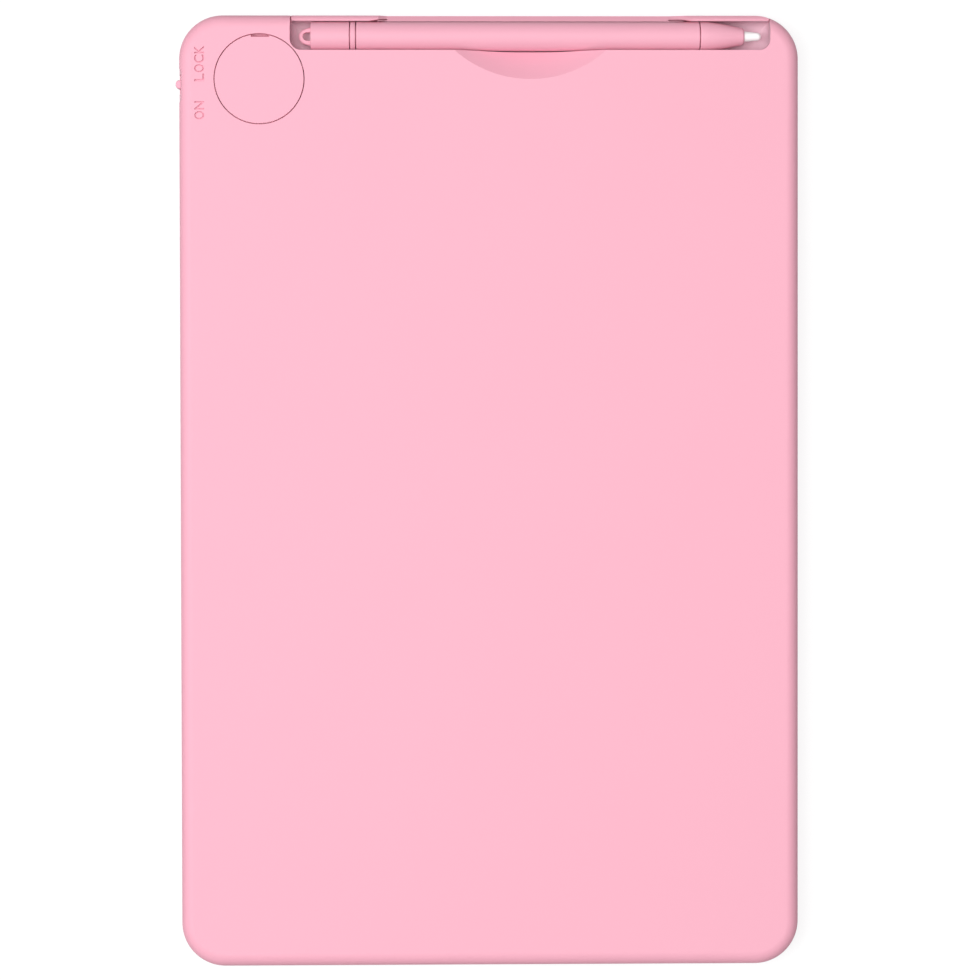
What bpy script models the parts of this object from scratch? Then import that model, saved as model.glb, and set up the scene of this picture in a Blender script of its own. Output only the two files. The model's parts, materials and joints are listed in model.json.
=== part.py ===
"""LCD writing tablet with a stylus in its back, modelled lying on its screen.

Units are metres. X runs across the tablet, Y towards the stylus, Z from the
front face (Z = 0) to the back face. The origin is the middle of the front face.
"""
import math

import bmesh
import bpy
from mathutils import Matrix, Vector

# Casing
BODY_WIDTH = 0.1463
BODY_LENGTH = 0.225
CORNER_RADIUS = 0.0092
BACK_ROUND = 0.0026
FRONT_ROUND = 0.0009
SIDE_WALL = 0.0015
BACK_WALL = 0.0016
BEZEL_PLATE = 0.0012
SEAM_GAP = 0.0003
LAYER_GAP = 0.0002
OVERRUN = 0.001

# Tongue and snap hooks that hold the two halves together
TONGUE_WALL = 0.001
TONGUE_HEIGHT = 0.0015
TONGUE_GAP = 0.0002
HOOK_LENGTH = 0.008
HOOK_HEIGHT = 0.0006
HOOK_REACH = 0.0005
HOOK_GAP = 0.00025
HOOK_SIDE_SHARES = (-0.36, -0.12, 0.11, 0.34)
HOOK_END_SHARES = (-0.31, 0.0, 0.31)

# Window, writing film and what presses it to the bezel
WINDOW_SIDE_MARGIN = 0.015
WINDOW_TOP_MARGIN = 0.0265
WINDOW_BOTTOM_MARGIN = 0.0165
WINDOW_CORNER = 0.003
FILM_MARGIN = 0.004
FILM_THICKNESS = 0.00045
FILM_CORNER = 0.001
TAPE_THICKNESS = 0.00015
TAPE_SET_BACK = 0.0008
BACKING_THICKNESS = 0.0008
FILM_RAIL = 0.001
FOAM_THICKNESS = 0.0015
FOAM_WIDTH = 0.006
FOAM_END_MARGIN = 0.014
RIB_THICKNESS = 0.0012
RIB_SIDE_SHARES = (-0.32, 0.0, 0.32)
RIB_CROSS_SHARES = (0.17, 0.39, 0.61, 0.83)

# Stylus
PEN_DIAMETER = 0.0068
PEN_BORE_WALL = 0.00095
PEN_END_GAP = 0.0019
PEN_SEAT_GAP = 0.0002
PEN_SIDE_GAP = 0.0001
PEN_BELOW_BACK = 0.0001
PEN_JOINT_GAP = 0.0003
PEN_FIT_GAP = 0.00012
PEN_EDGE = 0.00015
EYELET_LENGTH = 0.0029
EYELET_WIDTH = 0.005
EYELET_THICKNESS = 0.0014
EYELET_TIP_RADIUS = 0.0014
EYELET_HOLE_RADIUS = 0.00085
EYELET_RIM = 0.0009
EYELET_TIP_TURN = 55.0
TAIL_CAP_LENGTH = 0.009
RING_LENGTH = 0.0012
SPIGOT_LENGTH = 0.005
NOSE_LENGTH = 0.01035
NOSE_STRAIGHT = 0.0038
NOSE_END_RADIUS = 0.002
NOSE_END_ROUND = 0.0007
NOSE_END_TURN = 75.0
NIB_LENGTH = 0.004
NIB_RADIUS = 0.0012
NIB_TIP_RADIUS = 0.00095
NIB_TIP_TURN = 80.0
NIB_SHANK_LENGTH = 0.005

# Slot that the stylus lies in, its lip and the finger reliefs
SLOT_CORNER = 0.0026
SLOT_RIGHT_MARGIN = 0.00705
CHANNEL_WALL = 0.0012
CHANNEL_FLOOR = 0.0009
LIP_WALL = 0.0016
LIP_DROP = 0.0008
LIP_CUT_LENGTH = 0.0713
LIP_CUT_RAMP = 0.0042
LIP_CUT_DEPTH = 0.0017
LIP_CUT_SLOPE = 0.0012
SCOOP_RADIUS = 0.0269
SCOOP_WIDTH = 0.00683
SCOOP_BEVEL = 0.0048
SCOOP_DEPTH = 0.0028
SCOOP_WALL = 0.0012
SCOOP_WALL_SHARES = ((1.0, 0.0), (0.72, 0.34), (0.42, 0.7), (0.18, 0.92), (0.0, 1.0))

# Battery pocket, cell and cover
CELL_RADIUS = 0.010
CELL_HEIGHT = 0.0025
CELL_STEP = 0.0004
CELL_GAP = 0.00025
CELL_TOP_GAP = 0.0003
COVER_THICKNESS = 0.0012
COVER_LEDGE = 0.00045
COVER_GAP = 0.00025
COVER_PRY_DEPTH = 0.00045
COVER_EDGE = 0.00012
COVER_SEAT_GAP = 0.0002
COVER_TAB_WIDTH = 0.004
COVER_TAB_THICKNESS = 0.0003
COVER_TAB_HEIGHT = 0.0014
COVER_TAB_GAP = 0.0002
COVER_TAB_TURNS = (30.0, 150.0, 210.0, 330.0)
BATTERY_TOP_MARGIN = 0.0047
BATTERY_SLOT_WEB = 0.0003
CUP_WALL = 0.00155
POCKET_FLOOR = 0.0009
CONTACT_ROOM = 0.0007
CONTACT_THICKNESS = 0.00025
CONTACT_WIDTH = 0.004
CONTACT_GAP = 0.00015
CONTACT_WINDOW_GAP = 0.0006
CONTACT_NOTCH = 0.0008

# Circuit board and what is soldered to it
BOARD_THICKNESS = 0.001
BOARD_RIGHT_OF_BATTERY = 0.073
BUTTON_ROOM = 0.0014
CHIP_RADIUS = 0.0034
CHIP_HEIGHT = 0.0011
CHIP_FROM_BATTERY = 0.0265
COIL_RADIUS = 0.0018
COIL_HEIGHT = 0.0015
COIL_FROM_BATTERY = 0.0335
CAPACITOR_LENGTH = 0.0032
CAPACITOR_WIDTH = 0.0016
CAPACITOR_HEIGHT = 0.0013
CAPACITOR_FROM_BATTERY = 0.0215
CAPACITOR_SPREAD = 0.0035
RESISTOR_LENGTH = 0.002
RESISTOR_WIDTH = 0.00125
RESISTOR_HEIGHT = 0.0005
RESISTOR_FROM_BATTERY = 0.0595
SCREW_RADIUS = 0.0009
SCREW_HEAD_RADIUS = 0.0018
SCREW_HEAD_HEIGHT = 0.0008
SCREW_LENGTH = 0.0035
SCREW_GAP = 0.0002
BOSS_WALL = 0.0012
LEFT_SCREW_FROM_BATTERY = 0.016
RIGHT_SCREW_FROM_BATTERY = 0.0695
TAIL_WIDTH = 0.010
TAIL_THICKNESS = 0.00015
TAIL_RISE_GAP = 0.0005
TAIL_FROM_BATTERY = 0.043
SOCKET_DEPTH = 0.003
SOCKET_HEIGHT = 0.0013
SOCKET_RIM = 0.0008

# Lock slider in the side wall and its switch
SWITCH_BELOW_BATTERY = 0.001
SWITCH_WIDTH = 0.007
SWITCH_DEPTH = 0.0032
SWITCH_HEIGHT = 0.0026
SWITCH_WALL = 0.0004
LEVER_WIDTH = 0.0012
LEVER_HEIGHT = 0.0012
LEVER_REACH = 0.0012
LEVER_IN_SWITCH = 0.0018
LOCK_TRAVEL = 0.001
KNOB_WIDTH = 0.002
KNOB_HEIGHT = 0.0028
KNOB_PROUD = 0.0007
KNOB_ROUND = 0.0007
SLIDER_PLATE = 0.0008
SLIDER_PLATE_WIDTH = 0.0076
SLIDER_PLATE_HEIGHT = 0.0042
SLIDER_FORK = 0.0005
RECESS_LENGTH = 0.0085
RECESS_OFFSET = -0.0004
RECESS_DEPTH = 0.0009
RECESS_RAMP = 0.0007
RECESS_FROM_FRONT = 0.0026

# Erase button in the bezel and the snap dome under it
BUTTON_LENGTH = 0.022
BUTTON_WIDTH = 0.0064
BUTTON_GAP = 0.00015
BUTTON_RECESS = 0.00025
BUTTON_FLANGE = 0.001
BUTTON_FLANGE_THICKNESS = 0.0005
BUTTON_EDGE = 0.0003
BUTTON_PIP_RADIUS = 0.0013
BUTTON_FROM_BATTERY = 0.05405
DOME_RADIUS = 0.003
DOME_RISE = 0.0003
DOME_THICKNESS = 0.00012
DOME_GAP = 0.0001

# Fineness of the round shapes
CORNER_STEPS = 10
EDGE_STEPS = 5
SMALL_STEPS = 4
PEN_SIDES = 40
DISC_SIDES = 64
PIN_SIDES = 24
SCOOP_STEPS = 28

# Heights, counted from the front face
SPLIT_Z = BEZEL_PLATE + SEAM_GAP
PEN_STACK = SPLIT_Z + CHANNEL_FLOOR + PEN_SEAT_GAP + PEN_DIAMETER + PEN_BELOW_BACK
BATTERY_STACK = (BEZEL_PLATE + BUTTON_ROOM + BOARD_THICKNESS + SEAM_GAP + POCKET_FLOOR
                 + CONTACT_ROOM + CELL_HEIGHT + CELL_TOP_GAP + COVER_THICKNESS)
BACK_Z = max(PEN_STACK, BATTERY_STACK)
CEILING_Z = BACK_Z - BACK_WALL
PEN_RADIUS = PEN_DIAMETER / 2
PEN_Z = BACK_Z - PEN_BELOW_BACK - PEN_RADIUS
CHANNEL_FLOOR_Z = PEN_Z - PEN_RADIUS - PEN_SEAT_GAP
COVER_LOW_Z = BACK_Z - COVER_THICKNESS
LEDGE_Z = COVER_LOW_Z - COVER_SEAT_GAP
CELL_HIGH_Z = COVER_LOW_Z - CELL_TOP_GAP
CELL_LOW_Z = CELL_HIGH_Z - CELL_HEIGHT
POCKET_FLOOR_Z = CELL_LOW_Z - CONTACT_ROOM
CUP_LOW_Z = POCKET_FLOOR_Z - POCKET_FLOOR
BOARD_HIGH_Z = CUP_LOW_Z - SEAM_GAP
BOARD_LOW_Z = BOARD_HIGH_Z - BOARD_THICKNESS
TAPE_Z = BEZEL_PLATE + LAYER_GAP
FILM_Z = TAPE_Z + TAPE_THICKNESS + LAYER_GAP
BACKING_Z = FILM_Z + FILM_THICKNESS + LAYER_GAP
FOAM_Z = BACKING_Z + BACKING_THICKNESS + LAYER_GAP
RIB_LOW_Z = FOAM_Z + FOAM_THICKNESS + LAYER_GAP
TONGUE_HIGH_Z = BEZEL_PLATE + TONGUE_HEIGHT

# Places across and along the tablet
HALF_WIDTH = BODY_WIDTH / 2
HALF_LENGTH = BODY_LENGTH / 2
INNER_X = HALF_WIDTH - SIDE_WALL
INNER_Y = HALF_LENGTH - SIDE_WALL
SLOT_HIGH_Y = HALF_LENGTH - LIP_WALL
SLOT_LOW_Y = SLOT_HIGH_Y - PEN_DIAMETER - 2 * PEN_SIDE_GAP
PEN_Y = (SLOT_HIGH_Y + SLOT_LOW_Y) / 2
POCKET_RADIUS = CELL_RADIUS + CELL_GAP
RECESS_RADIUS = POCKET_RADIUS + COVER_LEDGE
COVER_RADIUS = RECESS_RADIUS - COVER_GAP
CUP_RADIUS = POCKET_RADIUS + CUP_WALL
SLIDER_X = -INNER_X + SEAM_GAP
SLIDER_INNER_X = SLIDER_X + SLIDER_PLATE
SWITCH_X = SLIDER_INNER_X + LEVER_REACH
BATTERY_X = SWITCH_X + SWITCH_DEPTH + SEAM_GAP + CUP_RADIUS
BATTERY_Y = HALF_LENGTH - BATTERY_TOP_MARGIN - RECESS_RADIUS
SWITCH_Y = BATTERY_Y - SWITCH_BELOW_BATTERY
SWITCH_Z = BOARD_HIGH_Z + LAYER_GAP
LEVER_Z = SWITCH_Z + SWITCH_HEIGHT / 2

# The slot's rounded corner keeps a thin web to the battery cover's recess
CORNER_RISE = SLOT_LOW_Y + SLOT_CORNER - BATTERY_Y
CORNER_REACH = SLOT_CORNER + BATTERY_SLOT_WEB + RECESS_RADIUS
SLOT_LEFT_X = BATTERY_X - SLOT_CORNER + math.sqrt(max(CORNER_REACH ** 2 - CORNER_RISE ** 2, 0))
SLOT_RIGHT_X = HALF_WIDTH - SLOT_RIGHT_MARGIN
SLOT_MIDDLE_X = (SLOT_LEFT_X + SLOT_RIGHT_X) / 2
TROUGH_LEFT_X = SLOT_LEFT_X - CHANNEL_WALL
TROUGH_RIGHT_X = SLOT_RIGHT_X + CHANNEL_WALL
TROUGH_LOW_Y = SLOT_LOW_Y - CHANNEL_WALL
SCOOP_Y = SLOT_LOW_Y - SCOOP_WIDTH + SCOOP_RADIUS

# The window and the film behind it
WINDOW_HALF_X = HALF_WIDTH - WINDOW_SIDE_MARGIN
WINDOW_HIGH_Y = HALF_LENGTH - WINDOW_TOP_MARGIN
WINDOW_LOW_Y = -HALF_LENGTH + WINDOW_BOTTOM_MARGIN
FILM_HALF_X = WINDOW_HALF_X + FILM_MARGIN
FILM_HIGH_Y = WINDOW_HIGH_Y + FILM_MARGIN
FILM_LOW_Y = WINDOW_LOW_Y - FILM_MARGIN
RAIL_HIGH_Y = FILM_HIGH_Y + SEAM_GAP + FILM_RAIL

# The circuit board lies between the film's rail and the stylus channel
BOARD_LEFT_X = -INNER_X + TONGUE_GAP + TONGUE_WALL + SEAM_GAP
BOARD_RIGHT_X = BATTERY_X + BOARD_RIGHT_OF_BATTERY
BOARD_LOW_Y = RAIL_HIGH_Y + SEAM_GAP
BOARD_HIGH_Y = TROUGH_LOW_Y - SEAM_GAP
BOARD_Y = (BOARD_LOW_Y + BOARD_HIGH_Y) / 2
SCREW_XS = (BATTERY_X + LEFT_SCREW_FROM_BATTERY, BATTERY_X + RIGHT_SCREW_FROM_BATTERY)
BUTTON_X = BATTERY_X + BUTTON_FROM_BATTERY
TAIL_X = BATTERY_X + TAIL_FROM_BATTERY

# Finishes: colour, roughness and, on metal, a third value of 1
PINK_PLASTIC = ((1.0, 0.53, 0.64, 1.0), 0.45)
WHITE_PLASTIC = ((0.9, 0.9, 0.9, 1.0), 0.45)
DARK_FILM = ((0.02, 0.022, 0.028, 1.0), 0.2)
BLACK_TAPE = ((0.02, 0.02, 0.02, 1.0), 0.7)
GREY_SHEET = ((0.2, 0.2, 0.21, 1.0), 0.6)
GREY_FOAM = ((0.12, 0.12, 0.12, 1.0), 0.95)
GREEN_BOARD = ((0.03, 0.16, 0.08, 1.0), 0.4)
BLACK_RESIN = ((0.02, 0.02, 0.025, 1.0), 0.4)
FERRITE = ((0.12, 0.12, 0.125, 1.0), 0.5)
TAN_CERAMIC = ((0.6, 0.48, 0.3, 1.0), 0.5)
AMBER_FOIL = ((0.62, 0.3, 0.08, 1.0), 0.3)
NICKEL_STEEL = ((0.6, 0.6, 0.62, 1.0), 0.28, 1.0)


def clear_scene():
    for item in list(bpy.data.objects):
        bpy.data.objects.remove(item, do_unlink=True)


def material(name, colour, roughness, metallic=0.0):
    made = bpy.data.materials.new(name)
    made.use_nodes = True
    shader = made.node_tree.nodes["Principled BSDF"]
    shader.inputs["Base Color"].default_value = colour
    shader.inputs["Roughness"].default_value = roughness
    shader.inputs["Metallic"].default_value = metallic
    return made


def solid(name, mesh, finish=None):
    """Link a closed mesh as an object, with its faces pointing out."""
    bmesh.ops.recalc_face_normals(mesh, faces=mesh.faces)
    data = bpy.data.meshes.new(name)
    mesh.to_mesh(data)
    mesh.free()
    made = bpy.data.objects.new(name, data)
    bpy.context.scene.collection.objects.link(made)
    if finish:
        data.materials.append(material(name, *finish))
    return made


def guide(name, mesh):
    """A solid that only cuts or adds to another, and isn't a piece."""
    made = solid(name, mesh)
    made.hide_render = True
    made.display_type = "WIRE"
    return made


def combine(target, tool, operation):
    step = target.modifiers.new(tool.name, "BOOLEAN")
    step.operation = operation
    step.solver = "EXACT"
    step.object = tool


def cut(target, name, mesh):
    tool = guide(name, mesh)
    combine(target, tool, "DIFFERENCE")
    return tool


def add(target, name, mesh):
    tool = guide(name, mesh)
    combine(target, tool, "UNION")
    return tool


def shade_round(item, angle_degrees=35.0):
    item.data.shade_smooth()
    item.data.set_sharp_from_angle(angle=math.radians(angle_degrees))


def arc(centre_x, centre_y, radius, start, end, steps):
    """Points of an arc in a plane, from one angle to another, in degrees."""
    points = []
    for step in range(steps + 1):
        turn = math.radians(start + (end - start) * step / steps)
        points.append((centre_x + radius * math.cos(turn), centre_y + radius * math.sin(turn)))
    return points


def rounded_box_outline(low_x, high_x, low_y, high_y, radius, steps=CORNER_STEPS):
    """A rectangle with the same round at each corner, anticlockwise."""
    points = arc(high_x - radius, high_y - radius, radius, 0, 90, steps)
    points += arc(low_x + radius, high_y - radius, radius, 90, 180, steps)
    points += arc(low_x + radius, low_y + radius, radius, 180, 270, steps)
    points += arc(high_x - radius, low_y + radius, radius, 270, 360, steps)
    return points


def body_outline(inset, steps=CORNER_STEPS):
    """The casing's outline, moved inwards by the inset."""
    half_x, half_y = HALF_WIDTH - inset, HALF_LENGTH - inset
    return rounded_box_outline(-half_x, half_x, -half_y, half_y, CORNER_RADIUS - inset, steps)


def loft(rings):
    """A closed mesh through rings of as many points each, capped at both ends."""
    mesh = bmesh.new()
    rows = [[mesh.verts.new(point) for point in ring] for ring in rings]
    count = len(rows[0])
    for low, high in zip(rows, rows[1:]):
        for index in range(count):
            following = (index + 1) % count
            mesh.faces.new((low[index], low[following], high[following], high[index]))
    mesh.faces.new(list(reversed(rows[0])))
    mesh.faces.new(rows[-1])
    return mesh


def prism(outline, low_z, high_z):
    return loft([[(x, y, z) for x, y in outline] for z in (low_z, high_z)])


def prism_along_x(outline, low_x, high_x):
    return loft([[(x, y, z) for y, z in outline] for x in (low_x, high_x)])


def prism_along_y(outline, low_y, high_y):
    return loft([[(x, y, z) for x, z in outline] for y in (low_y, high_y)])


def box(low, high):
    outline = [(low[0], low[1]), (high[0], low[1]), (high[0], high[1]), (low[0], high[1])]
    return prism(outline, low[2], high[2])


def centred_box(x, y, size_x, size_y, low_z, high_z):
    return box((x - size_x / 2, y - size_y / 2, low_z), (x + size_x / 2, y + size_y / 2, high_z))


def disc(x, y, radius, low_z, high_z, sides=DISC_SIDES):
    return prism(arc(x, y, radius, 0, 360, sides)[:-1], low_z, high_z)


def turned(profile, place, along, sides):
    """Turn (distance, radius) points about an axis that starts at the place.

    A profile whose ends have no radius is closed on the axis. Any other is a
    closed loop, so it makes a tube.
    """
    mesh = bmesh.new()
    rows = []
    for distance, radius in profile:
        if radius == 0:
            rows.append([mesh.verts.new(place + along(distance, 0.0, 0.0))])
            continue
        row = []
        for side in range(sides):
            turn = 2 * math.pi * side / sides
            offset = along(distance, radius * math.cos(turn), radius * math.sin(turn))
            row.append(mesh.verts.new(place + offset))
        rows.append(row)
    pairs = list(zip(rows, rows[1:]))
    if len(rows[0]) > 1:
        pairs.append((rows[-1], rows[0]))
    for near, far in pairs:
        for side in range(sides):
            following = (side + 1) % sides
            if len(near) == 1:
                corners = (near[0], far[following], far[side])
            elif len(far) == 1:
                corners = (near[side], near[following], far[0])
            else:
                corners = (near[side], near[following], far[following], far[side])
            mesh.faces.new(corners)
    return mesh


def along_x(distance, first, second):
    return Vector((distance, first, second))


def along_z(distance, first, second):
    return Vector((first, second, distance))


def strip_outline(path, thickness):
    """The outline of a bent strip, half its thickness to each side of a path."""
    left, right = [], []
    for index, point in enumerate(path):
        here = Vector(point)
        before = here - Vector(path[index - 1]) if index else None
        after = Vector(path[index + 1]) - here if index + 1 < len(path) else None
        runs = [run.normalized() for run in (before, after) if run]
        sides = [Vector((-run.y, run.x)) for run in runs]
        middle = sum(sides, Vector((0.0, 0.0))).normalized()
        offset = middle * (thickness / 2) / middle.dot(sides[0])
        left.append(tuple(here + offset))
        right.append(tuple(here - offset))
    return left + right[::-1]


def carry(name, pivot, pieces):
    """Parent the pieces of one moving body to an empty on its joint's axis."""
    handle = bpy.data.objects.new(name, None)
    bpy.context.scene.collection.objects.link(handle)
    handle.location = pivot
    for piece in pieces:
        piece.data.transform(Matrix.Translation(-Vector(pivot)))
        for step in piece.modifiers:
            if step.type == "BOOLEAN":
                step.object.data.transform(Matrix.Translation(-Vector(pivot)))
                step.object.parent = handle
        piece.parent = handle


def rounded_rings(radius, edge_z, direction, steps):
    """Insets and heights of a quarter round that ends flat at edge_z."""
    rings = []
    for step in range(steps + 1):
        turn = math.pi / 2 * step / steps
        inset = radius * (1 - math.cos(turn))
        rings.append((inset, edge_z - direction * radius * (1 - math.sin(turn))))
    return rings


def make_cavity():
    """The room inside the back shell, less what stands in it."""
    cavity = guide("cavity", prism(body_outline(SIDE_WALL), SPLIT_Z - OVERRUN, CEILING_Z))
    trough_low = (TROUGH_LEFT_X, TROUGH_LOW_Y, SPLIT_Z - 2 * OVERRUN)
    trough_high = (TROUGH_RIGHT_X, HALF_LENGTH, BACK_Z)
    cut(cavity, "keep_trough", box(trough_low, trough_high))
    cut(cavity, "keep_cup", disc(BATTERY_X, BATTERY_Y, CUP_RADIUS, CUP_LOW_Z, BACK_Z))
    scoop_low_z = BACK_Z - SCOOP_DEPTH - SCOOP_WALL
    keep_scoop = disc(SLOT_MIDDLE_X, SCOOP_Y, SCOOP_RADIUS + SCOOP_WALL, scoop_low_z, BACK_Z)
    cut(cavity, "keep_scoop", keep_scoop)
    for number, screw_x in enumerate(SCREW_XS):
        radius = SCREW_RADIUS + SCREW_GAP + BOSS_WALL
        boss = disc(screw_x, BOARD_Y, radius, CUP_LOW_Z, BACK_Z, PIN_SIDES)
        cut(cavity, f"keep_boss_{number}", boss)
    rail_low_z = LEVER_Z + SLIDER_PLATE_HEIGHT / 2 + SEAM_GAP
    rail_low = (-HALF_WIDTH, SWITCH_Y - SLIDER_PLATE_WIDTH, min(rail_low_z, CEILING_Z))
    rail_high = (SLIDER_INNER_X, SWITCH_Y + SLIDER_PLATE_WIDTH, BACK_Z)
    cut(cavity, "keep_slider_rail", box(rail_low, rail_high))
    keep_ribs(cavity)
    return cavity


def keep_ribs(cavity):
    """A grid of stiffening ribs behind the film, fused to walls and back."""
    low_y, high_y = -HALF_LENGTH, RAIL_HIGH_Y - 2 * FILM_RAIL
    for number, share in enumerate(RIB_SIDE_SHARES):
        rib_x = share * BODY_WIDTH
        low = (rib_x - RIB_THICKNESS / 2, low_y, RIB_LOW_Z)
        high = (rib_x + RIB_THICKNESS / 2, high_y, BACK_Z)
        cut(cavity, f"keep_long_rib_{number}", box(low, high))
    for number, share in enumerate(RIB_CROSS_SHARES):
        rib_y = low_y + share * (high_y - low_y)
        low = (-HALF_WIDTH, rib_y - RIB_THICKNESS / 2, RIB_LOW_Z)
        high = (HALF_WIDTH, rib_y + RIB_THICKNESS / 2, BACK_Z)
        cut(cavity, f"keep_cross_rib_{number}", box(low, high))


def slot_outline():
    """The slot in plan, with rounds at its two inner corners only."""
    points = [(SLOT_RIGHT_X, SLOT_HIGH_Y), (SLOT_LEFT_X, SLOT_HIGH_Y)]
    rise = SLOT_LOW_Y + SLOT_CORNER
    points += arc(SLOT_LEFT_X + SLOT_CORNER, rise, SLOT_CORNER, 180, 270, CORNER_STEPS)
    points += arc(SLOT_RIGHT_X - SLOT_CORNER, rise, SLOT_CORNER, 270, 360, CORNER_STEPS)
    return points


def scoop_mesh():
    """A dish beside the slot: a flat floor with a wall that leans outwards."""
    slope = SCOOP_BEVEL / SCOOP_DEPTH
    rings = [scoop_ring(SCOOP_RADIUS + slope * OVERRUN, BACK_Z + OVERRUN)]
    for wide, deep in SCOOP_WALL_SHARES:
        rings.append(scoop_ring(SCOOP_RADIUS - SCOOP_BEVEL * (1 - wide), BACK_Z - SCOOP_DEPTH * deep))
    return loft(rings)


def scoop_ring(radius, z):
    """An arc of the scoop that ends on the stylus's axis, where the slot is open."""
    spread = math.degrees(math.acos(min((SCOOP_Y - PEN_Y) / radius, 1.0)))
    outline = arc(SLOT_MIDDLE_X, SCOOP_Y, radius, 270 - spread, 270 + spread, SCOOP_STEPS)
    return [(x, y, z) for x, y in outline]


def lip_cut_mesh():
    """The lowered stretch of the lip, with a ramp at each end and an outward slope."""
    half = LIP_CUT_LENGTH / 2
    rings = []
    for y, drop in ((PEN_Y, 0.0), (SLOT_HIGH_Y, 0.0), (HALF_LENGTH + OVERRUN, LIP_CUT_SLOPE)):
        floor_z = BACK_Z - LIP_DROP - LIP_CUT_DEPTH - drop
        high_z = BACK_Z + OVERRUN
        run = LIP_CUT_RAMP * (high_z - floor_z) / (LIP_CUT_DEPTH + LIP_DROP)
        corners = ((-half, floor_z), (half, floor_z), (half + run, high_z), (-half - run, high_z))
        rings.append([(SLOT_MIDDLE_X + x, y, z) for x, z in corners])
    return loft(rings)


def contact_window(target, name, low_x, high_x, low_z, high_z):
    half = CONTACT_WIDTH / 2 + CONTACT_WINDOW_GAP
    low = (low_x, BATTERY_Y - half, low_z)
    cut(target, name, box(low, (high_x, BATTERY_Y + half, high_z)))


def cut_battery_pocket(shell):
    cut(shell, "cover_recess", disc(BATTERY_X, BATTERY_Y, RECESS_RADIUS, LEDGE_Z, BACK_Z + OVERRUN))
    cut(shell, "cell_pocket", disc(BATTERY_X, BATTERY_Y, POCKET_RADIUS, POCKET_FLOOR_Z, BACK_Z + OVERRUN))
    for turn in COVER_TAB_TURNS:
        notch = tab_outline(turn, CELL_RADIUS - CELL_GAP, COVER_RADIUS + COVER_TAB_GAP, COVER_TAB_GAP)
        low_z = COVER_LOW_Z - COVER_TAB_HEIGHT - COVER_TAB_GAP
        cut(shell, f"tab_notch_{turn:.0f}", prism(notch, low_z, BACK_Z + OVERRUN))
    low_z = CUP_LOW_Z - OVERRUN
    foot_x, rise_x = positive_contact_places()
    high_z = POCKET_FLOOR_Z + OVERRUN
    contact_window(shell, "positive_window", foot_x - CONTACT_WINDOW_GAP, rise_x, low_z, high_z)
    notch_x = BATTERY_X + POCKET_RADIUS + CONTACT_NOTCH
    contact_window(shell, "positive_notch", rise_x - CONTACT_NOTCH, notch_x, low_z, LEDGE_Z)
    tip_x, root_x = negative_contact_places()
    low_x, high_x = tip_x - CONTACT_WINDOW_GAP, root_x + CONTACT_WINDOW_GAP
    contact_window(shell, "negative_window", low_x, high_x, low_z, high_z)


def tab_outline(turn, inner, outer, gap):
    """A curved bar round the battery's axis, as wide as a cover tab and a gap at each side."""
    spread = math.degrees((COVER_TAB_WIDTH / 2 + gap) / outer)
    points = arc(BATTERY_X, BATTERY_Y, outer, turn - spread, turn + spread, EDGE_STEPS)
    return points + arc(BATTERY_X, BATTERY_Y, inner, turn + spread, turn - spread, EDGE_STEPS)


def positive_contact_places():
    """X of the foot's end and of the upright beside the cell's rim."""
    rise_x = BATTERY_X + CELL_RADIUS + CELL_GAP + CONTACT_NOTCH / 2
    return rise_x - CONTACT_WIDTH / 2, rise_x


def negative_contact_places():
    """X of the finger's tip and of the foot's end, under the cell."""
    return BATTERY_X - CONTACT_WIDTH, BATTERY_X + CONTACT_WIDTH


def cut_lock_opening(shell):
    """The finger recess in the side wall and the slot that the knob runs in."""
    middle = SWITCH_Y + RECESS_OFFSET
    half = RECESS_LENGTH / 2
    outline = [(-HALF_WIDTH - OVERRUN, middle + half + RECESS_RAMP * OVERRUN / RECESS_DEPTH),
               (-HALF_WIDTH - OVERRUN, middle - half - RECESS_RAMP * OVERRUN / RECESS_DEPTH),
               (-HALF_WIDTH + RECESS_DEPTH, middle - half + RECESS_RAMP),
               (-HALF_WIDTH + RECESS_DEPTH, middle + half - RECESS_RAMP)]
    cut(shell, "side_recess", prism(outline, RECESS_FROM_FRONT, BACK_Z + OVERRUN))
    half_y = KNOB_WIDTH / 2 + LOCK_TRAVEL + SEAM_GAP
    half_z = KNOB_HEIGHT / 2 + SEAM_GAP
    low = (-HALF_WIDTH - OVERRUN, SWITCH_Y - half_y, LEVER_Z - half_z)
    cut(shell, "knob_slot", box(low, (SLIDER_X, SWITCH_Y + half_y, LEVER_Z + half_z)))


def hook_places():
    """Middle, size across and size along of each snap hook, in plan."""
    reach_x = INNER_X - TONGUE_GAP
    reach_y = INNER_Y - TONGUE_GAP
    places = []
    for share in HOOK_SIDE_SHARES:
        for side in (-1, 1):
            places.append((side * reach_x, share * BODY_LENGTH, side, 0))
    for share in HOOK_END_SHARES:
        places.append((share * BODY_WIDTH, -reach_y, 0, -1))
    return places


def hook_box(place, gap):
    """A snap hook on the tongue, or with a gap the pocket that it clicks into."""
    x, y, side_x, side_y = place
    half = HOOK_LENGTH / 2 + gap
    root = TONGUE_WALL / 2
    reach = HOOK_REACH + gap
    low_z, high_z = TONGUE_HIGH_Z - HOOK_HEIGHT - gap, TONGUE_HIGH_Z + gap
    if side_x:
        ends = sorted((x - side_x * root, x + side_x * reach))
        return box((ends[0], y - half, low_z), (ends[1], y + half, high_z))
    ends = sorted((y - side_y * root, y + side_y * reach))
    return box((x - half, ends[0], low_z), (x + half, ends[1], high_z))


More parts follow.
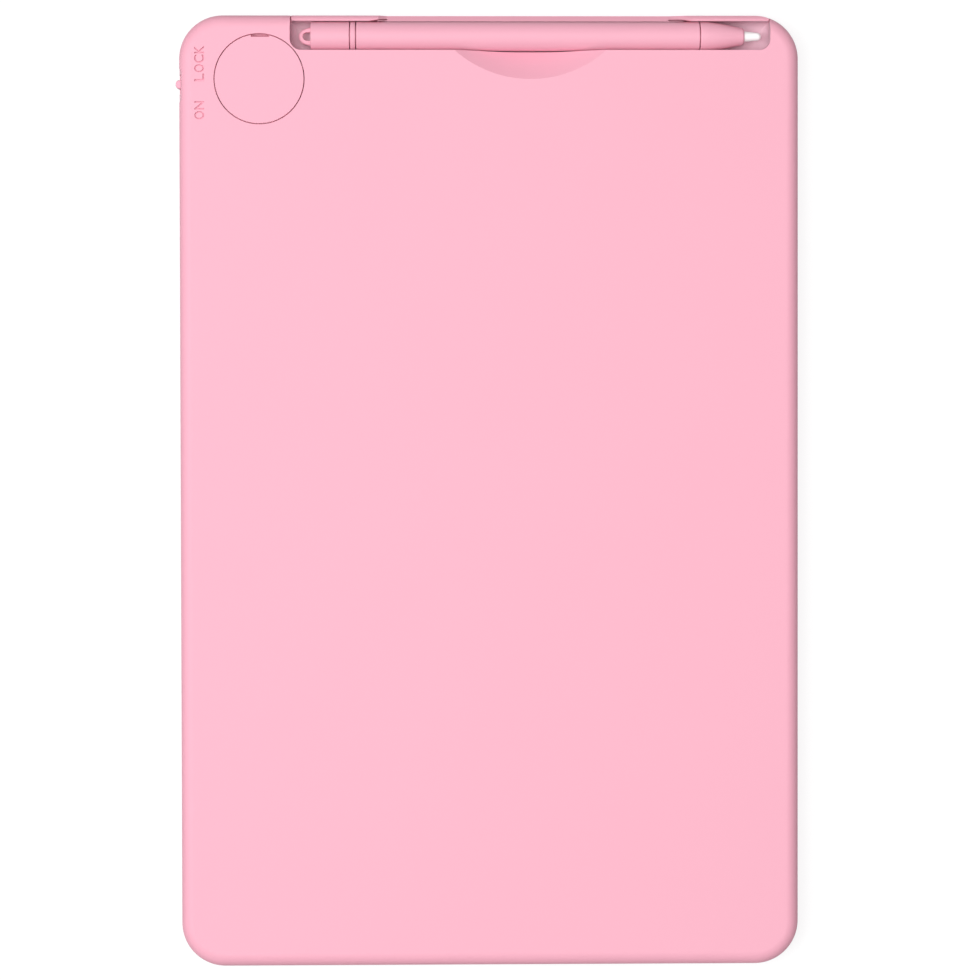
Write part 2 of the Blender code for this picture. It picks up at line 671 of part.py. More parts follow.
def make_back_shell():
    rings = [(0.0, SPLIT_Z)] + rounded_rings(BACK_ROUND, BACK_Z, 1, EDGE_STEPS)
    outer = loft([[(x, y, z) for x, y in body_outline(inset)] for inset, z in rings])
    shell = solid("back_shell", outer, PINK_PLASTIC)
    combine(shell, make_cavity(), "DIFFERENCE")
    cut(shell, "pen_slot", prism(slot_outline(), CHANNEL_FLOOR_Z, BACK_Z + OVERRUN))
    lip_low = (SLOT_LEFT_X, PEN_Y, BACK_Z - LIP_DROP)
    lip_high = (SLOT_RIGHT_X, HALF_LENGTH + OVERRUN, BACK_Z + OVERRUN)
    cut(shell, "lip_top", box(lip_low, lip_high))
    cut(shell, "lip_cut", lip_cut_mesh())
    cut(shell, "finger_scoop", scoop_mesh())
    cut_battery_pocket(shell)
    cut_lock_opening(shell)
    for number, screw_x in enumerate(SCREW_XS):
        hole_high = BOARD_HIGH_Z + SCREW_LENGTH + SCREW_GAP
        hole = disc(screw_x, BOARD_Y, SCREW_RADIUS + SCREW_GAP, CUP_LOW_Z - OVERRUN, hole_high, PIN_SIDES)
        cut(shell, f"boss_hole_{number}", hole)
    for number, place in enumerate(hook_places()):
        cut(shell, f"hook_pocket_{number}", hook_box(place, HOOK_GAP))
    shade_round(shell)


def make_front_bezel():
    """The front half: a plate with the window, a tongue, a film rail and hooks."""
    rings = [(inset, FRONT_ROUND - (z - BEZEL_PLATE + FRONT_ROUND))
             for inset, z in rounded_rings(FRONT_ROUND, BEZEL_PLATE, 1, EDGE_STEPS)]
    rings = [(inset, z) for inset, z in reversed(rings)] + [(0.0, BEZEL_PLATE)]
    plate = loft([[(x, y, z) for x, y in body_outline(inset)] for inset, z in rings])
    bezel = solid("front_bezel", plate, PINK_PLASTIC)
    root_z = BEZEL_PLATE / 2
    tongue_inset = SIDE_WALL + TONGUE_GAP
    tongue = add(bezel, "tongue", prism(body_outline(tongue_inset), root_z, TONGUE_HIGH_Z))
    inner = prism(body_outline(tongue_inset + TONGUE_WALL), BEZEL_PLATE, TONGUE_HIGH_Z + OVERRUN)
    cut(tongue, "tongue_inside", inner)
    trough_low = (TROUGH_LEFT_X - SEAM_GAP, TROUGH_LOW_Y - SEAM_GAP, BEZEL_PLATE)
    trough_high = (TROUGH_RIGHT_X + SEAM_GAP, HALF_LENGTH, TONGUE_HIGH_Z + OVERRUN)
    cut(tongue, "tongue_trough_gap", box(trough_low, trough_high))
    rail_grow = SEAM_GAP + FILM_RAIL
    rail_mesh = prism(film_outline(rail_grow), root_z, BACKING_Z + BACKING_THICKNESS / 2)
    rail = add(bezel, "film_rail", rail_mesh)
    rail_inside = prism(film_outline(SEAM_GAP), BEZEL_PLATE, BACKING_Z + BACKING_THICKNESS)
    cut(rail, "film_rail_inside", rail_inside)
    half = TAIL_WIDTH / 2 + SEAM_GAP
    tail_low = (TAIL_X - half, FILM_HIGH_Y - OVERRUN, BEZEL_PLATE)
    tail_high = (TAIL_X + half, RAIL_HIGH_Y + OVERRUN, BACKING_Z + BACKING_THICKNESS)
    cut(rail, "film_rail_tail_gap", box(tail_low, tail_high))
    for number, place in enumerate(hook_places()):
        add(bezel, f"hook_{number}", hook_box(place, 0.0))
    window = rounded_box_outline(-WINDOW_HALF_X, WINDOW_HALF_X, WINDOW_LOW_Y, WINDOW_HIGH_Y,
                                 WINDOW_CORNER)
    cut(bezel, "window", prism(window, -OVERRUN, BEZEL_PLATE + OVERRUN))
    cut(bezel, "button_hole", prism(button_outline(BUTTON_GAP), -OVERRUN, BEZEL_PLATE + OVERRUN))
    shade_round(bezel)


def film_outline(grow):
    half_x = FILM_HALF_X + grow
    return rounded_box_outline(-half_x, half_x, FILM_LOW_Y - grow, FILM_HIGH_Y + grow,
                               FILM_CORNER + max(grow, 0.0), SMALL_STEPS)


def button_outline(grow):
    """The erase button in plan: a slot shape with round ends."""
    half_x, half_y = BUTTON_LENGTH / 2 + grow, BUTTON_WIDTH / 2 + grow
    points = arc(BUTTON_X + half_x - half_y, BOARD_Y, half_y, -90, 90, CORNER_STEPS)
    points += arc(BUTTON_X - half_x + half_y, BOARD_Y, half_y, 90, 270, CORNER_STEPS)
    return points


def make_film_stack():
    """Tape, writing film and backing board, laid on the bezel inside the rail."""
    tape = solid("film_tape", prism(film_outline(0.0), TAPE_Z, TAPE_Z + TAPE_THICKNESS), BLACK_TAPE)
    inner = rounded_box_outline(-WINDOW_HALF_X - TAPE_SET_BACK, WINDOW_HALF_X + TAPE_SET_BACK,
                                WINDOW_LOW_Y - TAPE_SET_BACK, WINDOW_HIGH_Y + TAPE_SET_BACK,
                                WINDOW_CORNER + TAPE_SET_BACK, SMALL_STEPS)
    cut(tape, "tape_inside", prism(inner, TAPE_Z - OVERRUN, TAPE_Z + TAPE_THICKNESS + OVERRUN))
    solid("writing_film", prism(film_outline(0.0), FILM_Z, FILM_Z + FILM_THICKNESS), DARK_FILM)
    backing = prism(film_outline(0.0), BACKING_Z, BACKING_Z + BACKING_THICKNESS)
    solid("backing_board", backing, GREY_SHEET)
    low_y, high_y = FILM_LOW_Y + FOAM_END_MARGIN, FILM_HIGH_Y - FOAM_END_MARGIN
    for label, share in zip(("left", "middle", "right"), RIB_SIDE_SHARES):
        x = share * BODY_WIDTH
        low = (x - FOAM_WIDTH / 2, low_y, FOAM_Z)
        strip = box(low, (x + FOAM_WIDTH / 2, high_y, FOAM_Z + FOAM_THICKNESS))
        solid(f"foam_strip_{label}", strip, GREY_FOAM)


def make_main_board():
    outline = rounded_box_outline(BOARD_LEFT_X, BOARD_RIGHT_X, BOARD_LOW_Y, BOARD_HIGH_Y,
                                  BOARD_THICKNESS, SMALL_STEPS)
    board = solid("main_board", prism(outline, BOARD_LOW_Z, BOARD_HIGH_Z), GREEN_BOARD)
    for number, screw_x in enumerate(SCREW_XS):
        hole = disc(screw_x, BOARD_Y, SCREW_RADIUS + SCREW_GAP, BOARD_LOW_Z - OVERRUN,
                    BOARD_HIGH_Z + OVERRUN, PIN_SIDES)
        cut(board, f"board_hole_{number}", hole)


def make_board_screws():
    """Screws that pass up through the board into the back shell's bosses."""
    for label, screw_x in zip(("left", "right"), SCREW_XS):
        head_high = BOARD_LOW_Z - LAYER_GAP
        head_low = head_high - SCREW_HEAD_HEIGHT
        tip = BOARD_HIGH_Z + SCREW_LENGTH
        profile = [(head_low, 0.0), (head_low, SCREW_HEAD_RADIUS - SCREW_HEAD_HEIGHT / 4),
                   (head_low + SCREW_HEAD_HEIGHT / 4, SCREW_HEAD_RADIUS), (head_high, SCREW_HEAD_RADIUS),
                   (head_high, SCREW_RADIUS), (tip - SCREW_RADIUS, SCREW_RADIUS), (tip, 0.0)]
        mesh = turned(profile, Vector((screw_x, BOARD_Y, 0.0)), along_z, PIN_SIDES)
        screw = solid(f"board_screw_{label}", mesh, NICKEL_STEEL)
        slot = centred_box(screw_x, BOARD_Y, 3 * SCREW_RADIUS, SCREW_RADIUS / 2,
                           head_low - OVERRUN, head_low + SCREW_HEAD_HEIGHT / 2)
        cut(screw, f"driver_slot_{label}", slot)
        cross = centred_box(screw_x, BOARD_Y, SCREW_RADIUS / 2, 3 * SCREW_RADIUS,
                            head_low - OVERRUN, head_low + SCREW_HEAD_HEIGHT / 2)
        cut(screw, f"driver_cross_{label}", cross)
        shade_round(screw)


def make_board_parts():
    seat = BOARD_HIGH_Z + CONTACT_GAP
    chip_place = Vector((BATTERY_X + CHIP_FROM_BATTERY, BOARD_Y, seat))
    profile = [(0.0, 0.0)]
    for step in range(EDGE_STEPS + 1):
        turn = math.pi / 2 * step / EDGE_STEPS
        profile.append((CHIP_HEIGHT * math.sin(turn), CHIP_RADIUS * math.cos(turn)))
    profile[-1] = (CHIP_HEIGHT, 0.0)
    chip = solid("driver_chip", turned(profile, chip_place, along_z, PIN_SIDES), BLACK_RESIN)
    shade_round(chip)
    coil_x = BATTERY_X + COIL_FROM_BATTERY
    coil = disc(coil_x, BOARD_Y, COIL_RADIUS, seat, seat + COIL_HEIGHT, PIN_SIDES)
    shade_round(solid("boost_coil", coil, FERRITE))
    for label, side in (("lower", -1), ("upper", 1)):
        mesh = centred_box(BATTERY_X + CAPACITOR_FROM_BATTERY, BOARD_Y + side * CAPACITOR_SPREAD,
                           CAPACITOR_LENGTH, CAPACITOR_WIDTH, seat, seat + CAPACITOR_HEIGHT)
        solid(f"capacitor_{label}", mesh, TAN_CERAMIC)
    resistor = centred_box(BATTERY_X + RESISTOR_FROM_BATTERY, BOARD_Y, RESISTOR_LENGTH, RESISTOR_WIDTH,
                           seat, seat + RESISTOR_HEIGHT)
    solid("resistor", resistor, BLACK_RESIN)


def make_film_tail():
    """The flat lead from the film's edge up to its socket on the board."""
    socket_low_y = BOARD_LOW_Y + SOCKET_RIM
    socket_z = BOARD_HIGH_Z + CONTACT_GAP
    tail_z = socket_z + SOCKET_HEIGHT / 2
    rise_y = BOARD_LOW_Y - TAIL_RISE_GAP
    film_z = FILM_Z + FILM_THICKNESS / 2
    path = [(FILM_HIGH_Y + LAYER_GAP, film_z), (rise_y, film_z), (rise_y, tail_z),
            (socket_low_y + SOCKET_DEPTH / 2, tail_z)]
    half = TAIL_WIDTH / 2
    mesh = prism_along_x(strip_outline(path, TAIL_THICKNESS), TAIL_X - half, TAIL_X + half)
    solid("film_tail", mesh, AMBER_FOIL)
    body = box((TAIL_X - half - SOCKET_RIM, socket_low_y, socket_z),
               (TAIL_X + half + SOCKET_RIM, socket_low_y + SOCKET_DEPTH, socket_z + SOCKET_HEIGHT))
    socket = solid("tail_socket", body, WHITE_PLASTIC)
    mouth = TAIL_THICKNESS / 2 + LAYER_GAP
    low = (TAIL_X - half - LAYER_GAP, socket_low_y - OVERRUN, tail_z - mouth)
    high = (TAIL_X + half + LAYER_GAP, socket_low_y + SOCKET_DEPTH - SOCKET_RIM, tail_z + mouth)
    cut(socket, "socket_mouth", box(low, high))


def make_contacts():
    """Spring contacts that reach the cell's rim and its underside."""
    half = CONTACT_WIDTH / 2
    foot_z = BOARD_HIGH_Z + CONTACT_GAP + CONTACT_THICKNESS / 2
    foot_x, rise_x = positive_contact_places()
    touch_x = BATTERY_X + CELL_RADIUS + CONTACT_GAP + CONTACT_THICKNESS / 2
    path = [(foot_x, foot_z), (rise_x, foot_z), (rise_x, CELL_LOW_Z),
            (touch_x, (CELL_LOW_Z + CELL_HIGH_Z) / 2), (rise_x, CELL_HIGH_Z - CELL_STEP)]
    mesh = prism_along_y(strip_outline(path, CONTACT_THICKNESS), BATTERY_Y - half, BATTERY_Y + half)
    solid("positive_contact", mesh, NICKEL_STEEL)
    tip_x, root_x = negative_contact_places()
    touch_z = CELL_LOW_Z - CONTACT_GAP - CONTACT_THICKNESS / 2
    path = [(root_x, foot_z), (BATTERY_X, foot_z), (BATTERY_X - CONTACT_ROOM, POCKET_FLOOR_Z),
            (tip_x + CONTACT_ROOM, touch_z), (tip_x, touch_z - CONTACT_THICKNESS)]
    mesh = prism_along_y(strip_outline(path, CONTACT_THICKNESS), BATTERY_Y - half, BATTERY_Y + half)
    solid("negative_contact", mesh, NICKEL_STEEL)


def make_coin_cell():
    """A coin cell, its wide can up and its smaller cap towards the front."""
    rim = CELL_RADIUS - CELL_STEP
    can_z = CELL_LOW_Z + CELL_STEP
    edge = CELL_STEP / 2
    profile = [(CELL_LOW_Z, 0.0), (CELL_LOW_Z, rim - CELL_STEP), (can_z, rim - CELL_STEP),
               (can_z, CELL_RADIUS - edge), (can_z + edge, CELL_RADIUS),
               (CELL_HIGH_Z - edge, CELL_RADIUS), (CELL_HIGH_Z, CELL_RADIUS - edge), (CELL_HIGH_Z, 0.0)]
    mesh = turned(profile, Vector((BATTERY_X, BATTERY_Y, 0.0)), along_z, DISC_SIDES)
    cell = solid("coin_cell", mesh, NICKEL_STEEL)
    shade_round(cell)
    carry("coin_cell_axis", (BATTERY_X, BATTERY_Y, CELL_HIGH_Z), [cell])


def make_battery_cover():
    """A push-in disc with a flat for a fingernail and four thin tabs below."""
    profile = [(COVER_LOW_Z, 0.0), (COVER_LOW_Z, COVER_RADIUS), (BACK_Z - COVER_EDGE, COVER_RADIUS),
               (BACK_Z, COVER_RADIUS - COVER_EDGE), (BACK_Z, 0.0)]
    mesh = turned(profile, Vector((BATTERY_X, BATTERY_Y, 0.0)), along_z, DISC_SIDES)
    cover = solid("battery_cover", mesh, PINK_PLASTIC)
    outer = COVER_RADIUS - COVER_EDGE
    for turn in COVER_TAB_TURNS:
        tab = tab_outline(turn, outer - COVER_TAB_THICKNESS, outer, 0.0)
        low_z = COVER_LOW_Z - COVER_TAB_HEIGHT
        add(cover, f"cover_tab_{turn:.0f}", prism(tab, low_z, COVER_LOW_Z + COVER_THICKNESS / 2))
    flat_y = BATTERY_Y + COVER_RADIUS - COVER_PRY_DEPTH
    low = (BATTERY_X - COVER_RADIUS, flat_y, COVER_LOW_Z - OVERRUN)
    high = (BATTERY_X + COVER_RADIUS, flat_y + 2 * COVER_PRY_DEPTH, BACK_Z + OVERRUN)
    cut(cover, "cover_pry_flat", box(low, high))
    shade_round(cover)
    carry("battery_cover_axis", (BATTERY_X, BATTERY_Y, BACK_Z), [cover])


def make_lock():
    """The slide switch on the board, its lever, and the slider that the finger moves."""
    body = box((SWITCH_X, SWITCH_Y - SWITCH_WIDTH / 2, SWITCH_Z),
               (SWITCH_X + SWITCH_DEPTH, SWITCH_Y + SWITCH_WIDTH / 2, SWITCH_Z + SWITCH_HEIGHT))
    case = solid("switch_case", body, NICKEL_STEEL)
    half_y = LEVER_WIDTH / 2 + LOCK_TRAVEL + SEAM_GAP
    half_z = LEVER_HEIGHT / 2 + LAYER_GAP
    room = box((SWITCH_X - OVERRUN, SWITCH_Y - half_y, LEVER_Z - half_z),
               (SWITCH_X + SWITCH_DEPTH - SWITCH_WALL, SWITCH_Y + half_y, LEVER_Z + half_z))
    cut(case, "switch_room", room)
    lever_low = (SLIDER_INNER_X + CONTACT_GAP, SWITCH_Y - LEVER_WIDTH / 2, LEVER_Z - LEVER_HEIGHT / 2)
    lever_high = (SWITCH_X + LEVER_IN_SWITCH, SWITCH_Y + LEVER_WIDTH / 2, LEVER_Z + LEVER_HEIGHT / 2)
    lever = solid("switch_lever", box(lever_low, lever_high), BLACK_RESIN)
    slider = make_lock_slider()
    carry("lock_axis", (SLIDER_X, SWITCH_Y, LEVER_Z), [slider, lever])


def make_lock_slider():
    tip_x = -HALF_WIDTH - KNOB_PROUD
    half = KNOB_WIDTH / 2
    outline = [(SLIDER_X + SLIDER_PLATE / 2, SWITCH_Y + half)]
    outline += arc(tip_x + KNOB_ROUND, SWITCH_Y + half - KNOB_ROUND, KNOB_ROUND, 90, 180, SMALL_STEPS)
    outline += arc(tip_x + KNOB_ROUND, SWITCH_Y - half + KNOB_ROUND, KNOB_ROUND, 180, 270, SMALL_STEPS)
    outline += [(SLIDER_X + SLIDER_PLATE / 2, SWITCH_Y - half)]
    knob = prism(outline, LEVER_Z - KNOB_HEIGHT / 2, LEVER_Z + KNOB_HEIGHT / 2)
    slider = solid("lock_slider", knob, PINK_PLASTIC)
    plate = box((SLIDER_X, SWITCH_Y - SLIDER_PLATE_WIDTH / 2, LEVER_Z - SLIDER_PLATE_HEIGHT / 2),
                (SLIDER_INNER_X, SWITCH_Y + SLIDER_PLATE_WIDTH / 2, LEVER_Z + SLIDER_PLATE_HEIGHT / 2))
    add(slider, "slider_plate", plate)
    near = LEVER_WIDTH / 2 + CONTACT_GAP
    for label, side in (("low", -1), ("high", 1)):
        ends = sorted((SWITCH_Y + side * near, SWITCH_Y + side * (near + SLIDER_FORK)))
        prong = box((SLIDER_INNER_X - SLIDER_PLATE / 2, ends[0], LEVER_Z - LEVER_HEIGHT / 2),
                    (SWITCH_X - SEAM_GAP, ends[1], LEVER_Z + LEVER_HEIGHT / 2))
        add(slider, f"slider_prong_{label}", prong)
    shade_round(slider)
    return slider


def make_erase_button():
    """The button in the bezel, with the flange that keeps it in and the pip that presses the dome."""
    flange_z = BEZEL_PLATE + LAYER_GAP
    flange_high = flange_z + BUTTON_FLANGE_THICKNESS
    rings = [(-BUTTON_EDGE, BUTTON_RECESS), (-BUTTON_EDGE / 4, BUTTON_RECESS + BUTTON_EDGE / 4),
             (0.0, BUTTON_RECESS + BUTTON_EDGE), (0.0, flange_z), (BUTTON_FLANGE, flange_z),
             (BUTTON_FLANGE, flange_high)]
    mesh = loft([[(x, y, z) for x, y in button_outline(grow)] for grow, z in rings])
    button = solid("erase_button", mesh, WHITE_PLASTIC)
    pip_high = BOARD_LOW_Z - DOME_GAP - DOME_RISE - DOME_GAP
    pip = disc(BUTTON_X, BOARD_Y, BUTTON_PIP_RADIUS, flange_high - BUTTON_FLANGE_THICKNESS / 2,
               max(pip_high, flange_high + DOME_GAP / 4), PIN_SIDES)
    add(button, "button_pip", pip)
    shade_round(button)
    carry("erase_button_axis", (BUTTON_X, BOARD_Y, BUTTON_RECESS), [button])


def make_metal_dome():
    """The snap dome on the board's front, which clicks and pushes the button back."""
    rim_z = BOARD_LOW_Z - DOME_GAP
    outer, inner = [], []
    for step in range(EDGE_STEPS + 1):
        share = step / EDGE_STEPS
        height = DOME_RISE * (1 - share ** 2)
        wall = DOME_THICKNESS * (1 - share / 2)
        outer.append((rim_z - height, DOME_RADIUS * share))
        inner.append((rim_z - height + wall, (DOME_RADIUS - DOME_THICKNESS) * share))
    inner[-1] = (rim_z, DOME_RADIUS - DOME_THICKNESS)
    profile = outer + inner[::-1]
    mesh = turned(profile, Vector((BUTTON_X, BOARD_Y, 0.0)), along_z, PIN_SIDES)
    shade_round(solid("metal_dome", mesh, NICKEL_STEEL))


def pen_places():
    """X of each joint along the stylus, from the eyelet to the nib's tip."""
    eyelet = SLOT_LEFT_X + PEN_END_GAP
    cap = eyelet + EYELET_LENGTH
    cap_end = cap + TAIL_CAP_LENGTH
    ring = cap_end + PEN_JOINT_GAP
    ring_end = ring + RING_LENGTH
    barrel = ring_end + PEN_JOINT_GAP
    tip = SLOT_RIGHT_X - PEN_END_GAP
    face = tip - NIB_LENGTH
    nose = face - NOSE_LENGTH
    return eyelet, cap, cap_end, ring, ring_end, barrel, nose - PEN_JOINT_GAP, nose, face, tip


def pen_solid(name, profile, finish):
    mesh = turned(profile, Vector((0.0, PEN_Y, PEN_Z)), along_x, PEN_SIDES)
    return solid(name, mesh, finish)


def make_stylus():
    eyelet, cap, cap_end, ring, ring_end, barrel, barrel_end, nose, face, tip = pen_places()
    bore = PEN_RADIUS - PEN_BORE_WALL
    spigot = bore - PEN_FIT_GAP
    spigot_end = barrel + SPIGOT_LENGTH
    soft = PEN_RADIUS - PEN_EDGE
    tail = pen_solid("stylus_tail_cap", [
        (cap, 0.0), (cap, soft), (cap + PEN_EDGE, PEN_RADIUS), (cap_end - PEN_EDGE, PEN_RADIUS),
        (cap_end, soft), (cap_end, spigot), (spigot_end, spigot), (spigot_end, 0.0)], PINK_PLASTIC)
    add(tail, "eyelet", eyelet_mesh(eyelet, cap))
    cut(tail, "eyelet_hole", eyelet_hole_mesh(cap))
    collar = pen_solid("stylus_ring", [
        (ring, bore), (ring, soft), (ring + PEN_EDGE, PEN_RADIUS), (ring_end - PEN_EDGE, PEN_RADIUS),
        (ring_end, soft), (ring_end, bore)], PINK_PLASTIC)
    tube = pen_solid("stylus_barrel", [
        (barrel, bore), (barrel, soft), (barrel + PEN_EDGE, PEN_RADIUS),
        (barrel_end - PEN_EDGE, PEN_RADIUS), (barrel_end, soft), (barrel_end, bore)], PINK_PLASTIC)
    cone = make_stylus_nose(nose, face, barrel_end - SPIGOT_LENGTH, spigot, soft)
    nib = make_stylus_nib(face, tip)
    pieces = [tail, collar, tube, cone, nib]
    for piece in pieces:
        shade_round(piece)
    carry("stylus_axis", ((eyelet + tip) / 2, PEN_Y, PEN_Z), pieces)


def eyelet_mesh(eyelet, cap):
    """The flat loop on the tail: wide at the cap and round at its end."""
    half = EYELET_WIDTH / 2
    tip_x = eyelet + EYELET_TIP_RADIUS
    root_x = cap + EYELET_RIM
    outline = [(root_x, PEN_Y - half), (root_x, PEN_Y + half)]
    outline += arc(tip_x, PEN_Y, EYELET_TIP_RADIUS, 180 - EYELET_TIP_TURN, 180 + EYELET_TIP_TURN,
                   CORNER_STEPS)
    return prism(outline, PEN_Z - EYELET_THICKNESS / 2, PEN_Z + EYELET_THICKNESS / 2)


def eyelet_hole_mesh(cap):
    """A half-round hole whose flat side lies at the cap."""
    outline = arc(cap - PEN_EDGE, PEN_Y, EYELET_HOLE_RADIUS, 90, 270, CORNER_STEPS)
    stretch = (EYELET_LENGTH - EYELET_RIM - PEN_EDGE) / EYELET_HOLE_RADIUS
    outline = [(cap - PEN_EDGE + (x - cap + PEN_EDGE) * stretch, y) for x, y in outline]
    return prism(outline, PEN_Z - EYELET_THICKNESS, PEN_Z + EYELET_THICKNESS)


def make_stylus_nose(nose, face, spigot_start, spigot, soft):
    """The nose: straight, then an even curve down to a rounded end with the nib's bore."""
    bore = NIB_RADIUS + PEN_FIT_GAP
    bore_start = face - NIB_SHANK_LENGTH - PEN_JOINT_GAP
    taper_start = nose + NOSE_STRAIGHT
    taper_end = face - NOSE_END_ROUND
    profile = [(bore_start, 0.0), (bore_start, bore), (face, bore)]
    end_centre = NOSE_END_RADIUS - NOSE_END_ROUND
    profile += arc(taper_end, end_centre, NOSE_END_ROUND, 0, NOSE_END_TURN, SMALL_STEPS)
    for step in range(EDGE_STEPS, -1, -1):
        share = step / EDGE_STEPS
        drop = share * share * (3 - share) / 2
        radius = PEN_RADIUS - (PEN_RADIUS - NOSE_END_RADIUS) * drop
        profile.append((taper_start + (taper_end - taper_start) * share, radius))
    profile += [(nose + PEN_EDGE, PEN_RADIUS), (nose, soft), (nose, spigot), (spigot_start, spigot),
                (spigot_start, 0.0)]
    return pen_solid("stylus_nose", profile[::-1], PINK_PLASTIC)


def make_stylus_nib(face, tip):
    """The white nib: a plain shank in the nose and a slightly tapered round tip."""
    shank_start = face - NIB_SHANK_LENGTH
    profile = [(shank_start, 0.0), (shank_start, NIB_RADIUS), (face, NIB_RADIUS)]
    centre = tip - NIB_TIP_RADIUS
    profile += arc(centre, 0.0, NIB_TIP_RADIUS, NIB_TIP_TURN, 0, CORNER_STEPS)
    profile[-1] = (tip, 0.0)
    return pen_solid("stylus_nib", profile, WHITE_PLASTIC)


def main():
    clear_scene()
    make_back_shell()
    make_front_bezel()
    make_film_stack()
    make_main_board()
    make_board_screws()
    make_board_parts()
    make_film_tail()
    make_contacts()
    make_coin_cell()
    make_battery_cover()
    make_lock()
    make_erase_button()
    make_metal_dome()
    make_stylus()


main()
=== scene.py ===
"""A pink LCD writing tablet lying on its screen, with its stylus in the slot along its top edge.

Sizes are in millimetres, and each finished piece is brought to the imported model's metres. X runs
across the tablet, Y towards the stylus and Z from the front face to the back face.
"""
import json
import math

import bmesh
import bpy
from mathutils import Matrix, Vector


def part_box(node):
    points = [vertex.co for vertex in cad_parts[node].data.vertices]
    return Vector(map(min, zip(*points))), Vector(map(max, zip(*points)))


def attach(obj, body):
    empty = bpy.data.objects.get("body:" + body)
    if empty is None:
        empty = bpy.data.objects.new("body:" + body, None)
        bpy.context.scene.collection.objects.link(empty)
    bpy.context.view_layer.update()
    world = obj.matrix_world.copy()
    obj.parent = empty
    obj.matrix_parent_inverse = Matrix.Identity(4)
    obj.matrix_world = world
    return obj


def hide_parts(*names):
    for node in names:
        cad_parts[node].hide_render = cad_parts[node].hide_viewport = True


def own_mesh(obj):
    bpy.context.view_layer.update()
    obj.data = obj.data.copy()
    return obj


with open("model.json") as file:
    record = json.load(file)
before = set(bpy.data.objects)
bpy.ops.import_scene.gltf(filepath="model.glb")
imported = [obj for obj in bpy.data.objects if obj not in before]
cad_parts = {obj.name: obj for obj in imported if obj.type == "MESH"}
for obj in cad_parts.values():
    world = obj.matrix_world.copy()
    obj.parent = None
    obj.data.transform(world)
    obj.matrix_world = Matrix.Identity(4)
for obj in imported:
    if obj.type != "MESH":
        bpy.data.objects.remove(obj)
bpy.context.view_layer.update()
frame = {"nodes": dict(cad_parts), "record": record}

METRE = 1000.0


def corners(node):
    """Lowest and highest corners of a node, in millimetres."""
    return tuple(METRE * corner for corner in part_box(node))


# What the frame says of the casing
SHELL_LOW, SHELL_HIGH = corners("back_shell")
BEZEL_LOW, BEZEL_HIGH = corners("front_bezel")
HALF_WIDTH, HALF_LENGTH, BACK_Z = SHELL_HIGH
SPLIT_Z = SHELL_LOW.z

# Casing: SIDE_DRAFT is how far its walls lean in across and along, and DRAFT_SHIFT how far the
# back's outline is off the front's. HAIR is the finest distance, and OVERRUN what a cutter stands out.
CORNER_RADIUS = 10.3
BACK_ROUND = 2.9
FRONT_ROUND = 0.9
SIDE_DRAFT = (0.225, 0.36)
DRAFT_SHIFT = (-0.055, 0.115)
SEAM_ROUND = 0.12
SMALL_ROUND = 0.12
SIDE_WALL = 1.5
BACK_WALL = 1.6
SEAM_GAP = 0.3
OVERRUN = 1.0
HAIR = 0.004
MOUTH_FLANGE = 3
BEZEL_PLATE = SPLIT_Z - SEAM_GAP
CEILING_Z = BACK_Z - BACK_WALL

# Fineness of the rounds
CORNER_STEPS = 28
EDGE_STEPS = 12
SMALL_STEPS = 3
DISC_SIDES = 192
PEN_SIDES = 96
PIN_SIDES = 48
SMOOTH_ANGLE = math.radians(32)

# Tests: a face's normal along an axis, a hollow edge's angle, and how places are told apart
FACING = 0.9
HOLLOW = -0.5
PLACE_DIGITS = 6

# Stylus, from the frame's boxes
CAP_LOW, CAP_HIGH = corners("stylus_tail_cap")
RING_LOW, RING_HIGH = corners("stylus_ring")
BARREL_LOW, BARREL_HIGH = corners("stylus_barrel")
NOSE_LOW, NOSE_HIGH = corners("stylus_nose")
NIB_LOW, NIB_HIGH = corners("stylus_nib")
PEN_RADIUS = (BARREL_HIGH.z - BARREL_LOW.z) / 2
PEN_Y = (BARREL_LOW.y + BARREL_HIGH.y) / 2
PEN_Z = (BARREL_LOW.z + BARREL_HIGH.z) / 2
PEN_BORE_WALL = 0.95
PEN_FIT_GAP = 0.12
PEN_JOINT_GAP = 0.3
PEN_JOINT_REACH = 0.08
PEN_EDGE = 0.15
PEN_SIDE_GAP = 0.1
PEN_SEAT_GAP = 0.2
PEN_END_GAP = 1.9
TAIL_CAP_LENGTH = 9.0
EYELET_LENGTH = 2.9
EYELET_WIDTH = 5.0
EYELET_THICKNESS = 1.4
EYELET_TIP_RADIUS = 1.4
EYELET_TIP_SHARE = 0.98
EYELET_RIM = 0.95
EYELET_HOLE_RADIUS = 1.0
EYELET_EDGE = 0.45
EYELET_Z = PEN_Z - 0.7
NOSE_STRAIGHT = 1.4
NOSE_END_RADIUS = 2.0
NOSE_CURVE = 1.45
NOSE_END_ROUND = 0.7
NIB_LENGTH = 4.0
NIB_RADIUS = 1.27
NIB_TIP_RADIUS = 0.95
NIB_SHANK_LENGTH = 5.0

